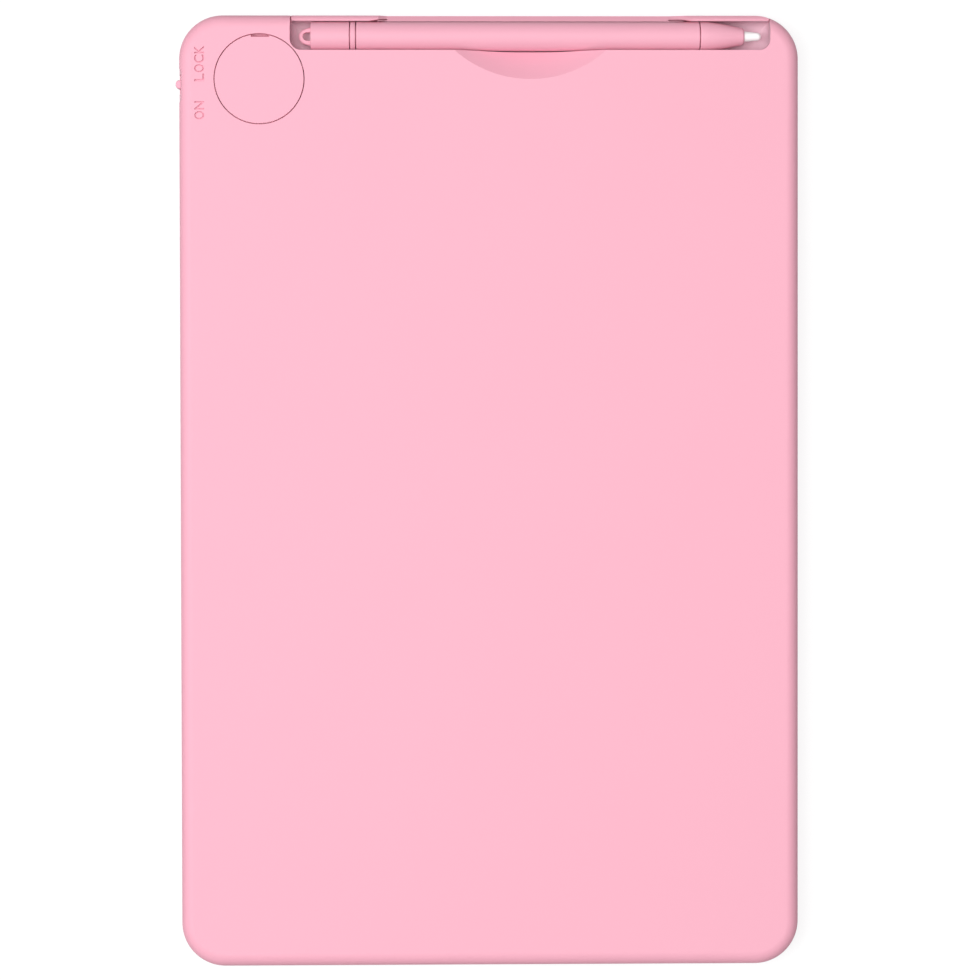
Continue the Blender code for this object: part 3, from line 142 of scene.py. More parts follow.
# Slot for the stylus, its lip and the finger reliefs
LIP_WALL = 1.6
LIP_INNER_Z = BACK_Z - 1.7
LIP_PLANES = ((1.7, 2.0), (1.41, 2.66), (0.76, 3.06))
LIP_SLIT = 0.25
LIP_SLIT_Z = BACK_Z - 4.5
LIP_CUT_INNER_Z = BACK_Z - 3.1
LIP_CUT_OUTER_Z = BACK_Z - 4.6
LIP_CUT_FLOOR = (-24.2, 42.3)
LIP_CUT_MOUTH = (-27.3, 46.6)
LIP_SPLITS = (((-28.3, -0.3), (-26.3, 0.03), (-24.0, 0.35)),
              ((42.3, 0.2), (45.3, 0.1), (47.6, -0.3)))
LIP_SPLIT_WIDTH = 0.3
LIP_SPLIT_Z = BACK_Z - 7.0
SLOT_CORNER = 2.6
SLOT_FILLET = 2.4
CHANNEL_WALL = 1.2
SLOT_LEFT_X = CAP_LOW.x - PEN_END_GAP
SLOT_RIGHT_X = NIB_HIGH.x + PEN_END_GAP
SLOT_MIDDLE_X = (SLOT_LEFT_X + SLOT_RIGHT_X) / 2
SLOT_HIGH_Y = PEN_Y + PEN_RADIUS + PEN_SIDE_GAP
SLOT_LOW_Y = PEN_Y - PEN_RADIUS - PEN_SIDE_GAP
CHANNEL_FLOOR_Z = PEN_Z - PEN_RADIUS - PEN_SEAT_GAP
SCOOP_RADIUS = 26.9
SCOOP_WIDTH = 6.83
SCOOP_BEVEL = 8.0
SCOOP_DEPTH = 4.4
SCOOP_WALL = 0.6
SCOOP_GAP = 0.25
SCOOP_GAP_RADIUS = 300.0
SCOOP_GAP_SIDES = 32 * DISC_SIDES
SCOOP_Y = SLOT_LOW_Y - SCOOP_WIDTH + SCOOP_RADIUS
SCOOP_WALL_SHARES = ((1.0, 0.0), (0.8, 0.23), (0.6, 0.45), (0.4, 0.66), (0.2, 0.85), (0.08, 0.95),
                     (0.0, 1.0))

# Battery pocket, from the cover's and the cell's boxes
COVER_LOW, COVER_HIGH = corners("battery_cover")
CELL_LOW, CELL_HIGH = corners("coin_cell")
COVER_RADIUS = (COVER_HIGH.x - COVER_LOW.x) / 2
CELL_RADIUS = (CELL_HIGH.x - CELL_LOW.x) / 2
BATTERY_X = (COVER_LOW.x + COVER_HIGH.x) / 2
BATTERY_Y = (CELL_LOW.y + CELL_HIGH.y) / 2
COVER_THICKNESS = 1.2
COVER_GAP = 0.19
COVER_SEAT_GAP = 0.2
PRY_X = BATTERY_X + 0.25
PRY_HALF = 2.15
PRY_REACH = 0.66
PRY_SLOPE = 0.44
PRY_DEPTH = 1.25
PRY_NOTCH_Z = BACK_Z - 2.0
COVER_TAB_WIDTH = 4.0
COVER_TAB_THICKNESS = 0.3
COVER_TAB_HEIGHT = 1.4
COVER_TAB_GAP = 0.2
COVER_TAB_TURNS = (30, 150, 210, 330)
CELL_GAP = 0.25
CELL_STEP = 0.4
PLUS_REACH = 1.8
PLUS_STROKE = 0.25
PLUS_DEPTH = 0.08
CONTACT_ROOM = 0.7
CONTACT_NOTCH = 0.8
CONTACT_WIDTH = 4.0
CONTACT_WINDOW_GAP = 0.6
POCKET_FLOOR = 0.9
CUP_WALL = 1.55
RECESS_RADIUS = COVER_RADIUS + COVER_GAP
PRY_NOTCH_RADIUS = RECESS_RADIUS - SMALL_ROUND / 4
POCKET_RADIUS = CELL_RADIUS + CELL_GAP
COVER_LOW_Z = BACK_Z - COVER_THICKNESS
LEDGE_Z = COVER_LOW_Z - COVER_SEAT_GAP
POCKET_FLOOR_Z = CELL_LOW.z - CONTACT_ROOM
CUP_LOW_Z = POCKET_FLOOR_Z - POCKET_FLOOR

# Lock slider and the recess that it sits in
SLIDER_LOW, SLIDER_HIGH = corners("lock_slider")
LEVER_LOW, LEVER_HIGH = corners("switch_lever")
SLIDER_Y = (SLIDER_LOW.y + SLIDER_HIGH.y) / 2
SLIDER_Z = (SLIDER_LOW.z + SLIDER_HIGH.z) / 2
SLIDER_X = -HALF_WIDTH + SIDE_WALL + SEAM_GAP
SLIDER_PLATE = 0.8
SLIDER_FORK = 0.5
LOCK_TRAVEL = 1.0
KNOB_WIDTH = 2.0
KNOB_HEIGHT = 2.8
KNOB_END_ROUND = 0.85
KNOB_ROUND = 0.4
FORK_GAP = 0.15
RECESS_LENGTH = 8.5
RECESS_OFFSET = -0.4
RECESS_DEPTH = 0.85
RECESS_RAMP = 0.9
RECESS_FROM_FRONT = -0.9
RECESS_RISE = 9.2

# Screws' bosses, ribs and the circuit board's row
BOARD_LOW, BOARD_HIGH = corners("main_board")
BOARD_Y = (BOARD_LOW.y + BOARD_HIGH.y) / 2
SCREW_XS = tuple(sum(corner.x for corner in corners(screw)) / 2
                 for screw in ("board_screw_left", "board_screw_right"))
BOSS_RADIUS = 2.3
BOSS_HOLE_RADIUS = 1.1
BOSS_HOLE_DEPTH = 3.4
RIB_THICKNESS = 1.2
RIB_LOW_Z = 5.1
RIB_SIDE_SHARES = (-0.32, 0.0, 0.32)
RIB_CROSS_SHARES = (0.17, 0.39, 0.61, 0.83)

# Bezel: window, tongue, snap hooks and the rail round the film
FILM_LOW, FILM_HIGH = corners("writing_film")
BACKING_LOW, BACKING_HIGH = corners("backing_board")
TAIL_LOW, TAIL_HIGH = corners("film_tail")
FILM_MARGIN = 4.0
WINDOW_CORNER = 3.0
WINDOW_EDGE = 0.3
FILM_CORNER = 1.0
FILM_RAIL = 1.0
TONGUE_GAP = 0.2
TONGUE_WALL = 1.0
HOOK_LENGTH = 8.0
HOOK_HEIGHT = 0.6
HOOK_REACH = 0.5
HOOK_GAP = 0.25
HOOK_SIDE_SHARES = (-0.36, -0.12, 0.11, 0.34)
HOOK_END_SHARES = (-0.31, 0.0, 0.31)

# Erase button, from its own box: a slot shape with a flange inside the bezel
BUTTON_LOW, BUTTON_HIGH = corners("erase_button")
BUTTON_X = (BUTTON_LOW.x + BUTTON_HIGH.x) / 2
BUTTON_Y = (BUTTON_LOW.y + BUTTON_HIGH.y) / 2
BUTTON_FLANGE = 1.0
BUTTON_FLANGE_THICKNESS = 0.5
BUTTON_HALF_X = (BUTTON_HIGH.x - BUTTON_LOW.x) / 2 - BUTTON_FLANGE
BUTTON_HALF_Y = (BUTTON_HIGH.y - BUTTON_LOW.y) / 2 - BUTTON_FLANGE
BUTTON_FLANGE_LIFT = 0.1
BUTTON_FLANGE_Z = BEZEL_PLATE + BUTTON_FLANGE_LIFT
BUTTON_GAP = 0.15
BUTTON_EDGE = 0.3
BUTTON_PIP_RADIUS = 1.3

# Snap dome under the button: how much of its rise is left when the button is in
DOME_LOW, DOME_HIGH = corners("metal_dome")
DOME_RADIUS = (DOME_HIGH.x - DOME_LOW.x) / 2
DOME_RISE = DOME_HIGH.z - DOME_LOW.z
DOME_SHEET = 0.12

# Words beside the slider: letters' tops and feet along X, each word's two ends along Y
LETTER_TOP_X = -69.23
LETTER_FOOT_X = -66.93
LETTER_DEPTH = 0.6
LETTER_BOLDER = 0.03
LETTERS = (("L", 96.5, 98.27), ("O", 98.6, 100.45), ("C", 100.8, 102.71), ("K", 103.02, 104.79),
           ("O", 87.59, 89.5), ("N", 89.87, 91.83))

# Finishes: the pinks, the size and height of a grain and how far it changes roughness and shade.
# WAVE_SCALE is the wave node's scale for one line in each unit.
PINK = (0.85, 0.403, 0.506)
# The second pink is painted shade: a paler, greyer pink for the stylus slot's walls and floor, which
# lightens and greys the shade there.
SLOT_PAINTED_SHADE_PINK = (0.73, 0.485, 0.56)
METAL_STROKE = 0.12
METAL_DETAIL = 3.0
METAL_RELIEF = 0.0008
METAL_ROUGH = (-0.04, 0.06)
METAL_SHADE = 0.94
PLAIN_GRAIN = 0.5
PLAIN_PATCH = 5.0
PLAIN_RELIEF = 0.003
PLAIN_ROUGH = 0.05
WAVE_SCALE = math.pi / 10

# Floor, lamps (place and size in metres, power in watts) and the room's own light
FLOOR_SIZE = 8.0
FLOOR_GAP = 0.0002
FLOOR_TONE = 0.9
FLOOR_ROUGHNESS = 0.9
FLOOR_GLOW = (1.06, 1.4)
FLOOR_GLOW_REACH = (0.3, 1.4)
FLOOR_GLOW_SHARE = 0.75
LAMPS = (("key_softbox", (-0.86, 0.0, 1.23), (1.0, 1.2), 10.9),
         ("top_softbox", (-0.1, 0.03, 1.3), (0.8, 1.0), 10.8),
         ("under_softbox", (0.0, 0.0, -1.0), (1.2, 1.2), 9.5))
ROOM_LIGHT = 0.25
ROOM_SEEN = 1.0

# Camera: distance in metres, aim, tilts in degrees, lens and sensor
CAMERA_DISTANCE = 0.75
CAMERA_AIM = (0.0306, 0.4024, BACK_Z / 2)
CAMERA_TILT = (-1.1373, -1.0537, -0.1037)
CAMERA_LENS = 116.274
CAMERA_SENSOR = 36.0


def take(piece):
    """Make one piece the only selected one and the active one."""
    bpy.ops.object.select_all(action="DESELECT")
    piece.select_set(True)
    bpy.context.view_layer.objects.active = piece
    return piece


def name_new(name):
    """Name the primitive just added and keep its place in its mesh."""
    bpy.ops.object.transform_apply(location=True, rotation=True, scale=True)
    made = bpy.context.object
    made.name = made.data.name = name
    return made


def block(name, low, high, corner=0.0):
    """A cube stretched between two corners, with rounds at its upright edges."""
    bpy.ops.object.select_all(action="DESELECT")
    low, high = Vector(low), Vector(high)
    bpy.ops.mesh.primitive_cube_add(size=1, location=(low + high) / 2, scale=high - low)
    made = name_new(name)
    if corner:
        round_edges(made, upright, corner, CORNER_STEPS)
    return made


def bar(name, x, y, radius, low_z, high_z, sides=DISC_SIDES):
    """An upright round bar."""
    bpy.ops.object.select_all(action="DESELECT")
    bpy.ops.mesh.primitive_cylinder_add(vertices=sides, radius=radius, depth=high_z - low_z,
                                        location=(x, y, (low_z + high_z) / 2))
    return name_new(name)


def upright(edge):
    """Whether an edge runs straight up."""
    first, second = (vert.co for vert in edge.verts)
    return (first - second).to_2d().length < HAIR < abs(first.z - second.z)


def at_height(z):
    """A test for the edges that lie at one height."""
    return lambda edge: all(abs(vert.co.z - z) < HAIR for vert in edge.verts)


def pick(piece, edges=None, faces=None):
    """In edit mode, select the edges or faces that a test wants."""
    take(piece)
    bpy.ops.object.mode_set(mode="EDIT")
    bpy.ops.mesh.select_mode(type="EDGE" if edges else "FACE")
    bpy.ops.mesh.select_all(action="DESELECT")
    mesh = bmesh.from_edit_mesh(piece.data)
    for part in mesh.edges if edges else mesh.faces:
        part.select_set((edges or faces)(part))
    bmesh.update_edit_mesh(piece.data)


def done():
    bpy.ops.object.mode_set(mode="OBJECT")


def shift(piece, move, **wanted):
    """Move the edges or faces of a piece that a test wants."""
    pick(piece, **wanted)
    bpy.ops.transform.translate(value=move)
    done()


def spread(piece, ratios, centre, **wanted):
    """Scale the edges or faces of a piece that a test wants, about a centre."""
    pick(piece, **wanted)
    bpy.ops.transform.resize(value=ratios, center_override=centre)
    done()


def start_ring(name, radius, place, sides, turn=0.0):
    """A ring in edit mode, all of it selected and ready to be drawn out."""
    bpy.ops.object.select_all(action="DESELECT")
    bpy.ops.mesh.primitive_circle_add(vertices=sides, radius=radius, fill_type="NOTHING",
                                      location=place, rotation=(0, turn, 0))
    made = name_new(name)
    bpy.ops.object.mode_set(mode="EDIT")
    bpy.ops.mesh.select_mode(type="EDGE")
    bpy.ops.mesh.select_all(action="SELECT")
    return made


def extrude_ring(move, ratios, centre):
    """Draw what is selected out by a move and scale it about a centre."""
    bpy.ops.mesh.extrude_region_move(TRANSFORM_OT_translate={"value": move})
    bpy.ops.transform.resize(value=ratios, center_override=centre)


def weld():
    """Merge the points of the open mesh that coincide."""
    bpy.ops.mesh.select_all(action="SELECT")
    bpy.ops.mesh.remove_doubles(threshold=HAIR)


def face_outwards():
    """Point all faces of the open mesh outwards and leave edit mode."""
    bpy.ops.mesh.select_all(action="SELECT")
    bpy.ops.mesh.normals_make_consistent(inside=False)
    done()


def round_edges(piece, wanted, radius, steps):
    """Round the edges that a test wants."""
    pick(piece, edges=wanted)
    bpy.ops.mesh.bevel(offset=radius, segments=steps, affect="EDGES", clamp_overlap=False)
    done()


def join(piece, tool, operation):
    """Add a tool to a piece, cut it out of it, or keep what they share. The tool is used up."""
    take(piece)
    step = piece.modifiers.new(tool.name, "BOOLEAN")
    step.operation = operation
    step.solver = "EXACT"
    step.object = tool
    bpy.ops.object.modifier_apply(modifier=step.name)
    bpy.data.objects.remove(tool)


def cut(piece, *tools):
    for tool in tools:
        join(piece, tool, "DIFFERENCE")


def add(piece, *tools):
    for tool in tools:
        join(piece, tool, "UNION")


def flare_mouth(cutter, z, centre, reach, radius):
    """Widen a cutter's top into a flange just above the face, with a round below it.

    The round leaves a soft rim on what the cutter cuts.
    """
    pick(cutter, faces=lambda face: face.normal.z > FACING and face.calc_center_median().z > z - HAIR)
    flange = MOUTH_FLANGE * radius
    grow = ((reach[0] + flange) / reach[0], (reach[1] + flange) / reach[1], 1)
    extrude_ring((0, 0, 0), grow, (centre[0], centre[1], z))
    bpy.ops.mesh.extrude_region_move(TRANSFORM_OT_translate={"value": (0, 0, OVERRUN)})
    done()
    round_edges(cutter, lambda edge: at_height(z)(edge) and edge.is_manifold
                and edge.calc_face_angle_signed(0) < HOLLOW, radius, SMALL_STEPS)


def finish_shape(piece):
    """Bring a piece to metres, smooth its rounds and keep its flat faces flat."""
    take(piece)
    bpy.ops.transform.resize(value=(1 / METRE,) * 3, center_override=(0, 0, 0))
    bpy.ops.object.transform_apply(location=True, rotation=True, scale=True)
    bpy.ops.object.shade_smooth_by_angle(angle=SMOOTH_ANGLE)
    step = piece.modifiers.new("even_normals", "WEIGHTED_NORMAL")
    step.keep_sharp = True
    bpy.ops.object.modifier_apply(modifier=step.name)


def hand_over(piece, body, slot, material, *nodes):
    """Give a finished piece its material, its moving body and the nodes that it stands for."""
    piece.data.materials.clear()
    piece.data.materials.append(material)
    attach(piece, body)
    if nodes:
        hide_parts(*nodes)


def shell_cavity():
    """The room inside the back moulding, less the trough, cup, scoop, bosses, rail and ribs."""
    low = (-HALF_WIDTH + SIDE_WALL, -HALF_LENGTH + SIDE_WALL, SPLIT_Z - OVERRUN)
    high = (HALF_WIDTH - SIDE_WALL, HALF_LENGTH - SIDE_WALL, CEILING_Z)
    cavity = block("cavity", low, high, CORNER_RADIUS - SIDE_WALL)
    trough_low = (SLOT_LEFT_X - CHANNEL_WALL, SLOT_LOW_Y - CHANNEL_WALL, SPLIT_Z - 2 * OVERRUN)
    cut(cavity, block("trough", trough_low, (SLOT_RIGHT_X + CHANNEL_WALL, HALF_LENGTH, BACK_Z)))
    cut(cavity, bar("cup", BATTERY_X, BATTERY_Y, POCKET_RADIUS + CUP_WALL, CUP_LOW_Z, BACK_Z))
    scoop_low_z = BACK_Z - SCOOP_DEPTH - SCOOP_WALL
    cut(cavity, bar("scoop_back", SLOT_MIDDLE_X, SCOOP_Y, SCOOP_RADIUS + SCOOP_WALL, scoop_low_z, BACK_Z))
    for x in SCREW_XS:
        cut(cavity, bar("boss", x, BOARD_Y, BOSS_RADIUS, CUP_LOW_Z, BACK_Z, PIN_SIDES))
    rail_low = (-HALF_WIDTH, 2 * SLIDER_LOW.y - SLIDER_Y, SLIDER_HIGH.z + SEAM_GAP)
    rail_high = (SLIDER_X + SLIDER_PLATE, 2 * SLIDER_HIGH.y - SLIDER_Y, BACK_Z)
    cut(cavity, block("slider_rail", rail_low, rail_high))
    low_y, high_y = -HALF_LENGTH, FILM_HIGH.y + SEAM_GAP - FILM_RAIL
    for share in RIB_SIDE_SHARES:
        x = 2 * HALF_WIDTH * share
        cut(cavity, block("long_rib", (x - RIB_THICKNESS / 2, low_y, RIB_LOW_Z),
                          (x + RIB_THICKNESS / 2, high_y, BACK_Z)))
    for share in RIB_CROSS_SHARES:
        y = low_y + share * (high_y - low_y)
        cut(cavity, block("cross_rib", (-HALF_WIDTH, y - RIB_THICKNESS / 2, RIB_LOW_Z),
                          (HALF_WIDTH, y + RIB_THICKNESS / 2, BACK_Z)))
    return cavity


def slot_cutter():
    """The stylus slot, with a round between its floor and its walls."""
    low = (SLOT_LEFT_X, SLOT_LOW_Y, CHANNEL_FLOOR_Z)
    slot = block("slot", low, (SLOT_RIGHT_X, SLOT_HIGH_Y, BACK_Z + HAIR))
    round_edges(slot, lambda edge: upright(edge) and edge.verts[0].co.y < PEN_Y, SLOT_CORNER,
                CORNER_STEPS)
    round_edges(slot, at_height(CHANNEL_FLOOR_Z), SLOT_FILLET, EDGE_STEPS)
    centre = (SLOT_MIDDLE_X, PEN_Y)
    reach = (SLOT_RIGHT_X - SLOT_MIDDLE_X, PEN_Y - SLOT_LOW_Y)
    flare_mouth(slot, BACK_Z + HAIR, centre, reach, SMALL_ROUND)
    return slot


def tilt_floor(cutter, inner_z, outer_z):
    """Tilt a cutter's low face through one height at the lip's inner edge and one at its outer edge."""
    floor_z = min(vert.co.z for vert in cutter.data.vertices)
    for y in {round(vert.co.y, PLACE_DIGITS) for vert in cutter.data.vertices}:
        height = inner_z + (outer_z - inner_z) * (y - SLOT_HIGH_Y) / LIP_WALL
        shift(cutter, (0, 0, height - floor_z), edges=lambda edge: at_height(floor_z)(edge)
              and all(abs(vert.co.y - y) < HAIR for vert in edge.verts))


def lip_top_cutters():
    """What lies above the lip, whose top rounds off outwards in three planes, and a slit at each end."""
    tools = []
    for inner, outer in LIP_PLANES:
        low = (SLOT_LEFT_X, SLOT_HIGH_Y - OVERRUN / 2, 0)
        made = block("lip_top", low, (SLOT_RIGHT_X, HALF_LENGTH + OVERRUN, BACK_Z + 2 * OVERRUN))
        tilt_floor(made, BACK_Z - inner, BACK_Z - outer)
        tools.append(made)
    for low_x in (SLOT_LEFT_X, SLOT_RIGHT_X - LIP_SLIT):
        tools.append(block("lip_slit", (low_x, SLOT_HIGH_Y - OVERRUN / 2, LIP_SLIT_Z),
                           (low_x + LIP_SLIT, HALF_LENGTH + OVERRUN, BACK_Z + OVERRUN)))
    return tools


def lip_cut_cutter():
    """The lowered stretch of the lip, which falls outwards and has a ramp at each end."""
    high_z = BACK_Z + OVERRUN
    low = (LIP_CUT_FLOOR[0], SLOT_HIGH_Y - OVERRUN, 0)
    made = block("lip_cut", low, (LIP_CUT_FLOOR[1], HALF_LENGTH + OVERRUN, high_z))
    tilt_floor(made, LIP_CUT_INNER_Z, LIP_CUT_OUTER_Z)
    middle_z = (LIP_CUT_INNER_Z + LIP_CUT_OUTER_Z) / 2
    for foot_x, mouth_x in zip(LIP_CUT_FLOOR, LIP_CUT_MOUTH):
        run = (mouth_x - foot_x) * (high_z - middle_z) / (LIP_INNER_Z - middle_z)
        shift(made, (run, 0, 0), edges=lambda edge: all(
            abs(vert.co.x - foot_x) < HAIR and vert.co.z > BACK_Z for vert in edge.verts))
    return made


def lip_splits():
    """A thin split at each end of the lowered stretch, which leaves the slot's wall at a slant."""
    tools = []
    for path in LIP_SPLITS:
        for (low_x, from_y), (high_x, to_y) in zip(path, path[1:]):
            made = block("lip_split", (low_x, SLOT_HIGH_Y + from_y, LIP_SPLIT_Z),
                         (high_x, SLOT_HIGH_Y + from_y + LIP_SPLIT_WIDTH, BACK_Z + OVERRUN))
            shift(made, (0, to_y - from_y, 0),
                  edges=lambda edge: upright(edge) and abs(edge.verts[0].co.x - high_x) < HAIR)
            tools.append(made)
    return tools


def scoop_cutter():
    """A dish beside the slot, drawn out in rings that shrink with depth, up to the stylus's axis.

    Below its rim a long flat arc widens the gap between the stylus and the slot's wall.
    """
    centre = (SLOT_MIDDLE_X, SCOOP_Y, BACK_Z)
    scoop = start_ring("scoop", SCOOP_RADIUS, centre, 2 * DISC_SIDES)
    radius, deep = SCOOP_RADIUS, 0.0
    for wide_share, deep_share in SCOOP_WALL_SHARES[1:]:
        next_radius = SCOOP_RADIUS - SCOOP_BEVEL * (1 - wide_share)
        next_deep = SCOOP_DEPTH * deep_share
        ratio = next_radius / radius
        extrude_ring((0, 0, deep - next_deep), (ratio, ratio, 1), centre)
        radius, deep = next_radius, next_deep
    bpy.ops.mesh.edge_face_add()
    done()
    pick(scoop, edges=lambda edge: edge.is_boundary)
    slope = SCOOP_BEVEL * (1 - SCOOP_WALL_SHARES[1][0]) / (SCOOP_DEPTH * SCOOP_WALL_SHARES[1][1])
    ratio = (SCOOP_RADIUS + slope * OVERRUN) / SCOOP_RADIUS
    extrude_ring((0, 0, OVERRUN), (ratio, ratio, 1), centre)
    bpy.ops.mesh.edge_face_add()
    face_outwards()
    low = (-HALF_WIDTH, 0, 0)
    join(scoop, block("scoop_side", low, (HALF_WIDTH, PEN_Y, BACK_Z + 2 * OVERRUN)), "INTERSECT")
    gap_y = SLOT_LOW_Y - SCOOP_GAP + SCOOP_GAP_RADIUS
    gap = bar("scoop_gap", SLOT_MIDDLE_X, gap_y, SCOOP_GAP_RADIUS, CHANNEL_FLOOR_Z + SLOT_FILLET,
              BACK_Z - SCOOP_DEPTH / 2, SCOOP_GAP_SIDES)
    join(gap, block("gap_side", low, (HALF_WIDTH, PEN_Y, BACK_Z)), "INTERSECT")
    add(scoop, gap)
    return scoop


def battery_cutters():
    """The cover's recess, the cell's pocket, the nick's notch in the ledge, tab notches and windows."""
    recess = bar("cover_recess", BATTERY_X, BATTERY_Y, RECESS_RADIUS, LEDGE_Z, BACK_Z + HAIR)
    centre, reach = (BATTERY_X, BATTERY_Y), (RECESS_RADIUS, RECESS_RADIUS)
    flare_mouth(recess, BACK_Z + HAIR, centre, reach, SMALL_ROUND)
    pocket = bar("cell_pocket", *centre, POCKET_RADIUS, POCKET_FLOOR_Z, BACK_Z + OVERRUN)
    pry_notch = bar("pry_notch", *centre, PRY_NOTCH_RADIUS, PRY_NOTCH_Z, LEDGE_Z + COVER_SEAT_GAP)
    join(pry_notch, block("pry_side", (PRY_X - PRY_HALF, BATTERY_Y + CELL_RADIUS, 0),
                          (PRY_X + PRY_HALF, HALF_LENGTH, BACK_Z)), "INTERSECT")
    tools = [recess, pocket, pry_notch]
    notch_low_z = COVER_LOW_Z - COVER_TAB_HEIGHT - COVER_TAB_GAP
    inner, outer = CELL_RADIUS - CELL_GAP, COVER_RADIUS + COVER_TAB_GAP
    for turn in COVER_TAB_TURNS:
        tools.append(turned_block("tab_notch", inner, outer, COVER_TAB_WIDTH + 2 * COVER_TAB_GAP,
                                  notch_low_z, BACK_Z - COVER_THICKNESS / 2, turn))
    half = CONTACT_WIDTH / 2 + CONTACT_WINDOW_GAP
    low_z, high_z = CUP_LOW_Z - OVERRUN, POCKET_FLOOR_Z + OVERRUN
    rise_x = BATTERY_X + CELL_RADIUS + CELL_GAP + CONTACT_NOTCH / 2
    foot_x = rise_x - CONTACT_WIDTH / 2
    wide = CONTACT_WIDTH + CONTACT_WINDOW_GAP
    spans = ((foot_x - CONTACT_WINDOW_GAP, rise_x, high_z),
             (rise_x - CONTACT_NOTCH, BATTERY_X + POCKET_RADIUS + CONTACT_NOTCH, LEDGE_Z),
             (BATTERY_X - wide, BATTERY_X + wide, high_z))
    for low_x, high_x, top_z in spans:
        tools.append(block("contact_window", (low_x, BATTERY_Y - half, low_z),
                           (high_x, BATTERY_Y + half, top_z)))
    return tools


def turned_block(name, inner, outer, width, low_z, high_z, turn):
    """A block at some way out from the battery's axis, turned about it."""
    angle = math.radians(turn)
    middle = (inner + outer) / 2
    x, y = BATTERY_X + middle * math.cos(angle), BATTERY_Y + middle * math.sin(angle)
    bpy.ops.object.select_all(action="DESELECT")
    bpy.ops.mesh.primitive_cube_add(size=1, location=(x, y, (low_z + high_z) / 2),
                                    rotation=(0, 0, angle), scale=(outer - inner, width, high_z - low_z))
    return name_new(name)


def lock_cutters():
    """The recess in the side, whose wall leans steeply in, and the slot that the knob runs in."""
    middle = SLIDER_Y + RECESS_OFFSET
    half = RECESS_LENGTH / 2
    recess = block("side_recess", (-HALF_WIDTH - OVERRUN, middle - half, RECESS_FROM_FRONT),
                   (-HALF_WIDTH + RECESS_DEPTH, middle + half, BACK_Z + OVERRUN))
    spread(recess, (1, (half - RECESS_RAMP) / half, 1), (0, middle, 0),
           faces=lambda face: face.normal.x > FACING)
    shift(recess, (0, 0, RECESS_RISE), edges=lambda edge: at_height(RECESS_FROM_FRONT)(edge)
          and all(vert.co.x > -HALF_WIDTH for vert in edge.verts))
    wide = (half + RECESS_RAMP * OVERRUN / RECESS_DEPTH) / half
    spread(recess, (1, wide, 1), (0, middle, 0), faces=lambda face: face.normal.x < -FACING)
    half_y = KNOB_WIDTH / 2 + LOCK_TRAVEL + SEAM_GAP
    half_z = KNOB_HEIGHT / 2 + SEAM_GAP
    knob_slot = block("knob_slot", (-HALF_WIDTH - OVERRUN, SLIDER_Y - half_y, SLIDER_Z - half_z),
                      (SLIDER_X, SLIDER_Y + half_y, SLIDER_Z + half_z))
    return [recess, knob_slot]


def hook_blocks(gap):
    """The snap hooks on the tongue, or with a gap the pockets that they click into."""
    reach_x = HALF_WIDTH - SIDE_WALL - TONGUE_GAP
    reach_y = HALF_LENGTH - SIDE_WALL - TONGUE_GAP
    half, root, reach = HOOK_LENGTH / 2 + gap, TONGUE_WALL / 2, HOOK_REACH + gap
    low_z, high_z = BEZEL_HIGH.z - HOOK_HEIGHT - gap, BEZEL_HIGH.z + gap
    blocks = []
    for share in HOOK_SIDE_SHARES:
        y = share * 2 * HALF_LENGTH
        for side in (-1, 1):
            near, far = sorted((side * (reach_x - root), side * (reach_x + reach)))
            blocks.append(block("hook", (near, y - half, low_z), (far, y + half, high_z)))
    for share in HOOK_END_SHARES:
        x = share * 2 * HALF_WIDTH
        blocks.append(block("hook", (x - half, -reach_y - reach, low_z),
                            (x + half, -reach_y + root, high_z)))
    return blocks


def lean_sides(moulding):
    """Lean the side walls in towards the back, for the mould, up to where the back's round starts."""
    pick(moulding, faces=lambda face: face.normal.z > FACING)
    rise = (BACK_Z - SPLIT_Z) / (BACK_Z - BACK_ROUND - SPLIT_Z)
    size = (1 - rise * SIDE_DRAFT[0] / HALF_WIDTH, 1 - rise * SIDE_DRAFT[1] / HALF_LENGTH, 1)
    bpy.ops.transform.resize(value=size, center_override=(0, 0, BACK_Z))
    bpy.ops.transform.translate(value=(rise * DRAFT_SHIFT[0], rise * DRAFT_SHIFT[1], 0))
    done()


def engraved_letter(letter, low_y, high_y):
    """A letter as an upright cutter, its top towards the side."""
    bpy.ops.object.select_all(action="DESELECT")
    bpy.ops.object.text_add(location=(0, 0, 0))
    made = bpy.context.object
    made.data.body = letter
    made.data.size = LETTER_FOOT_X - LETTER_TOP_X
    made.data.offset = LETTER_BOLDER
    bpy.ops.object.convert(target="MESH")
    made.name = made.data.name = "letter"
    bpy.ops.object.mode_set(mode="EDIT")
    bpy.ops.mesh.select_mode(type="VERT")
    weld()
    bpy.ops.transform.rotate(value=-math.pi / 2, orient_axis="Z", center_override=(0, 0, 0))
    bpy.ops.mesh.extrude_region_move(TRANSFORM_OT_translate={"value": (0, 0, OVERRUN + LETTER_DEPTH)})
    face_outwards()
    spans = [[vert.co[axis] for vert in made.data.vertices] for axis in (0, 1)]
    size_x, size_y = (max(span) - min(span) for span in spans)
    grow_x, grow_y = (LETTER_FOOT_X - LETTER_TOP_X) / size_x, (high_y - low_y) / size_y
    move = (LETTER_TOP_X - min(spans[0]) * grow_x, low_y - min(spans[1]) * grow_y, BACK_Z - LETTER_DEPTH)
    spread(made, (grow_x, grow_y, 1), (0, 0, 0), faces=lambda face: True)
    shift(made, move, faces=lambda face: True)
    return made


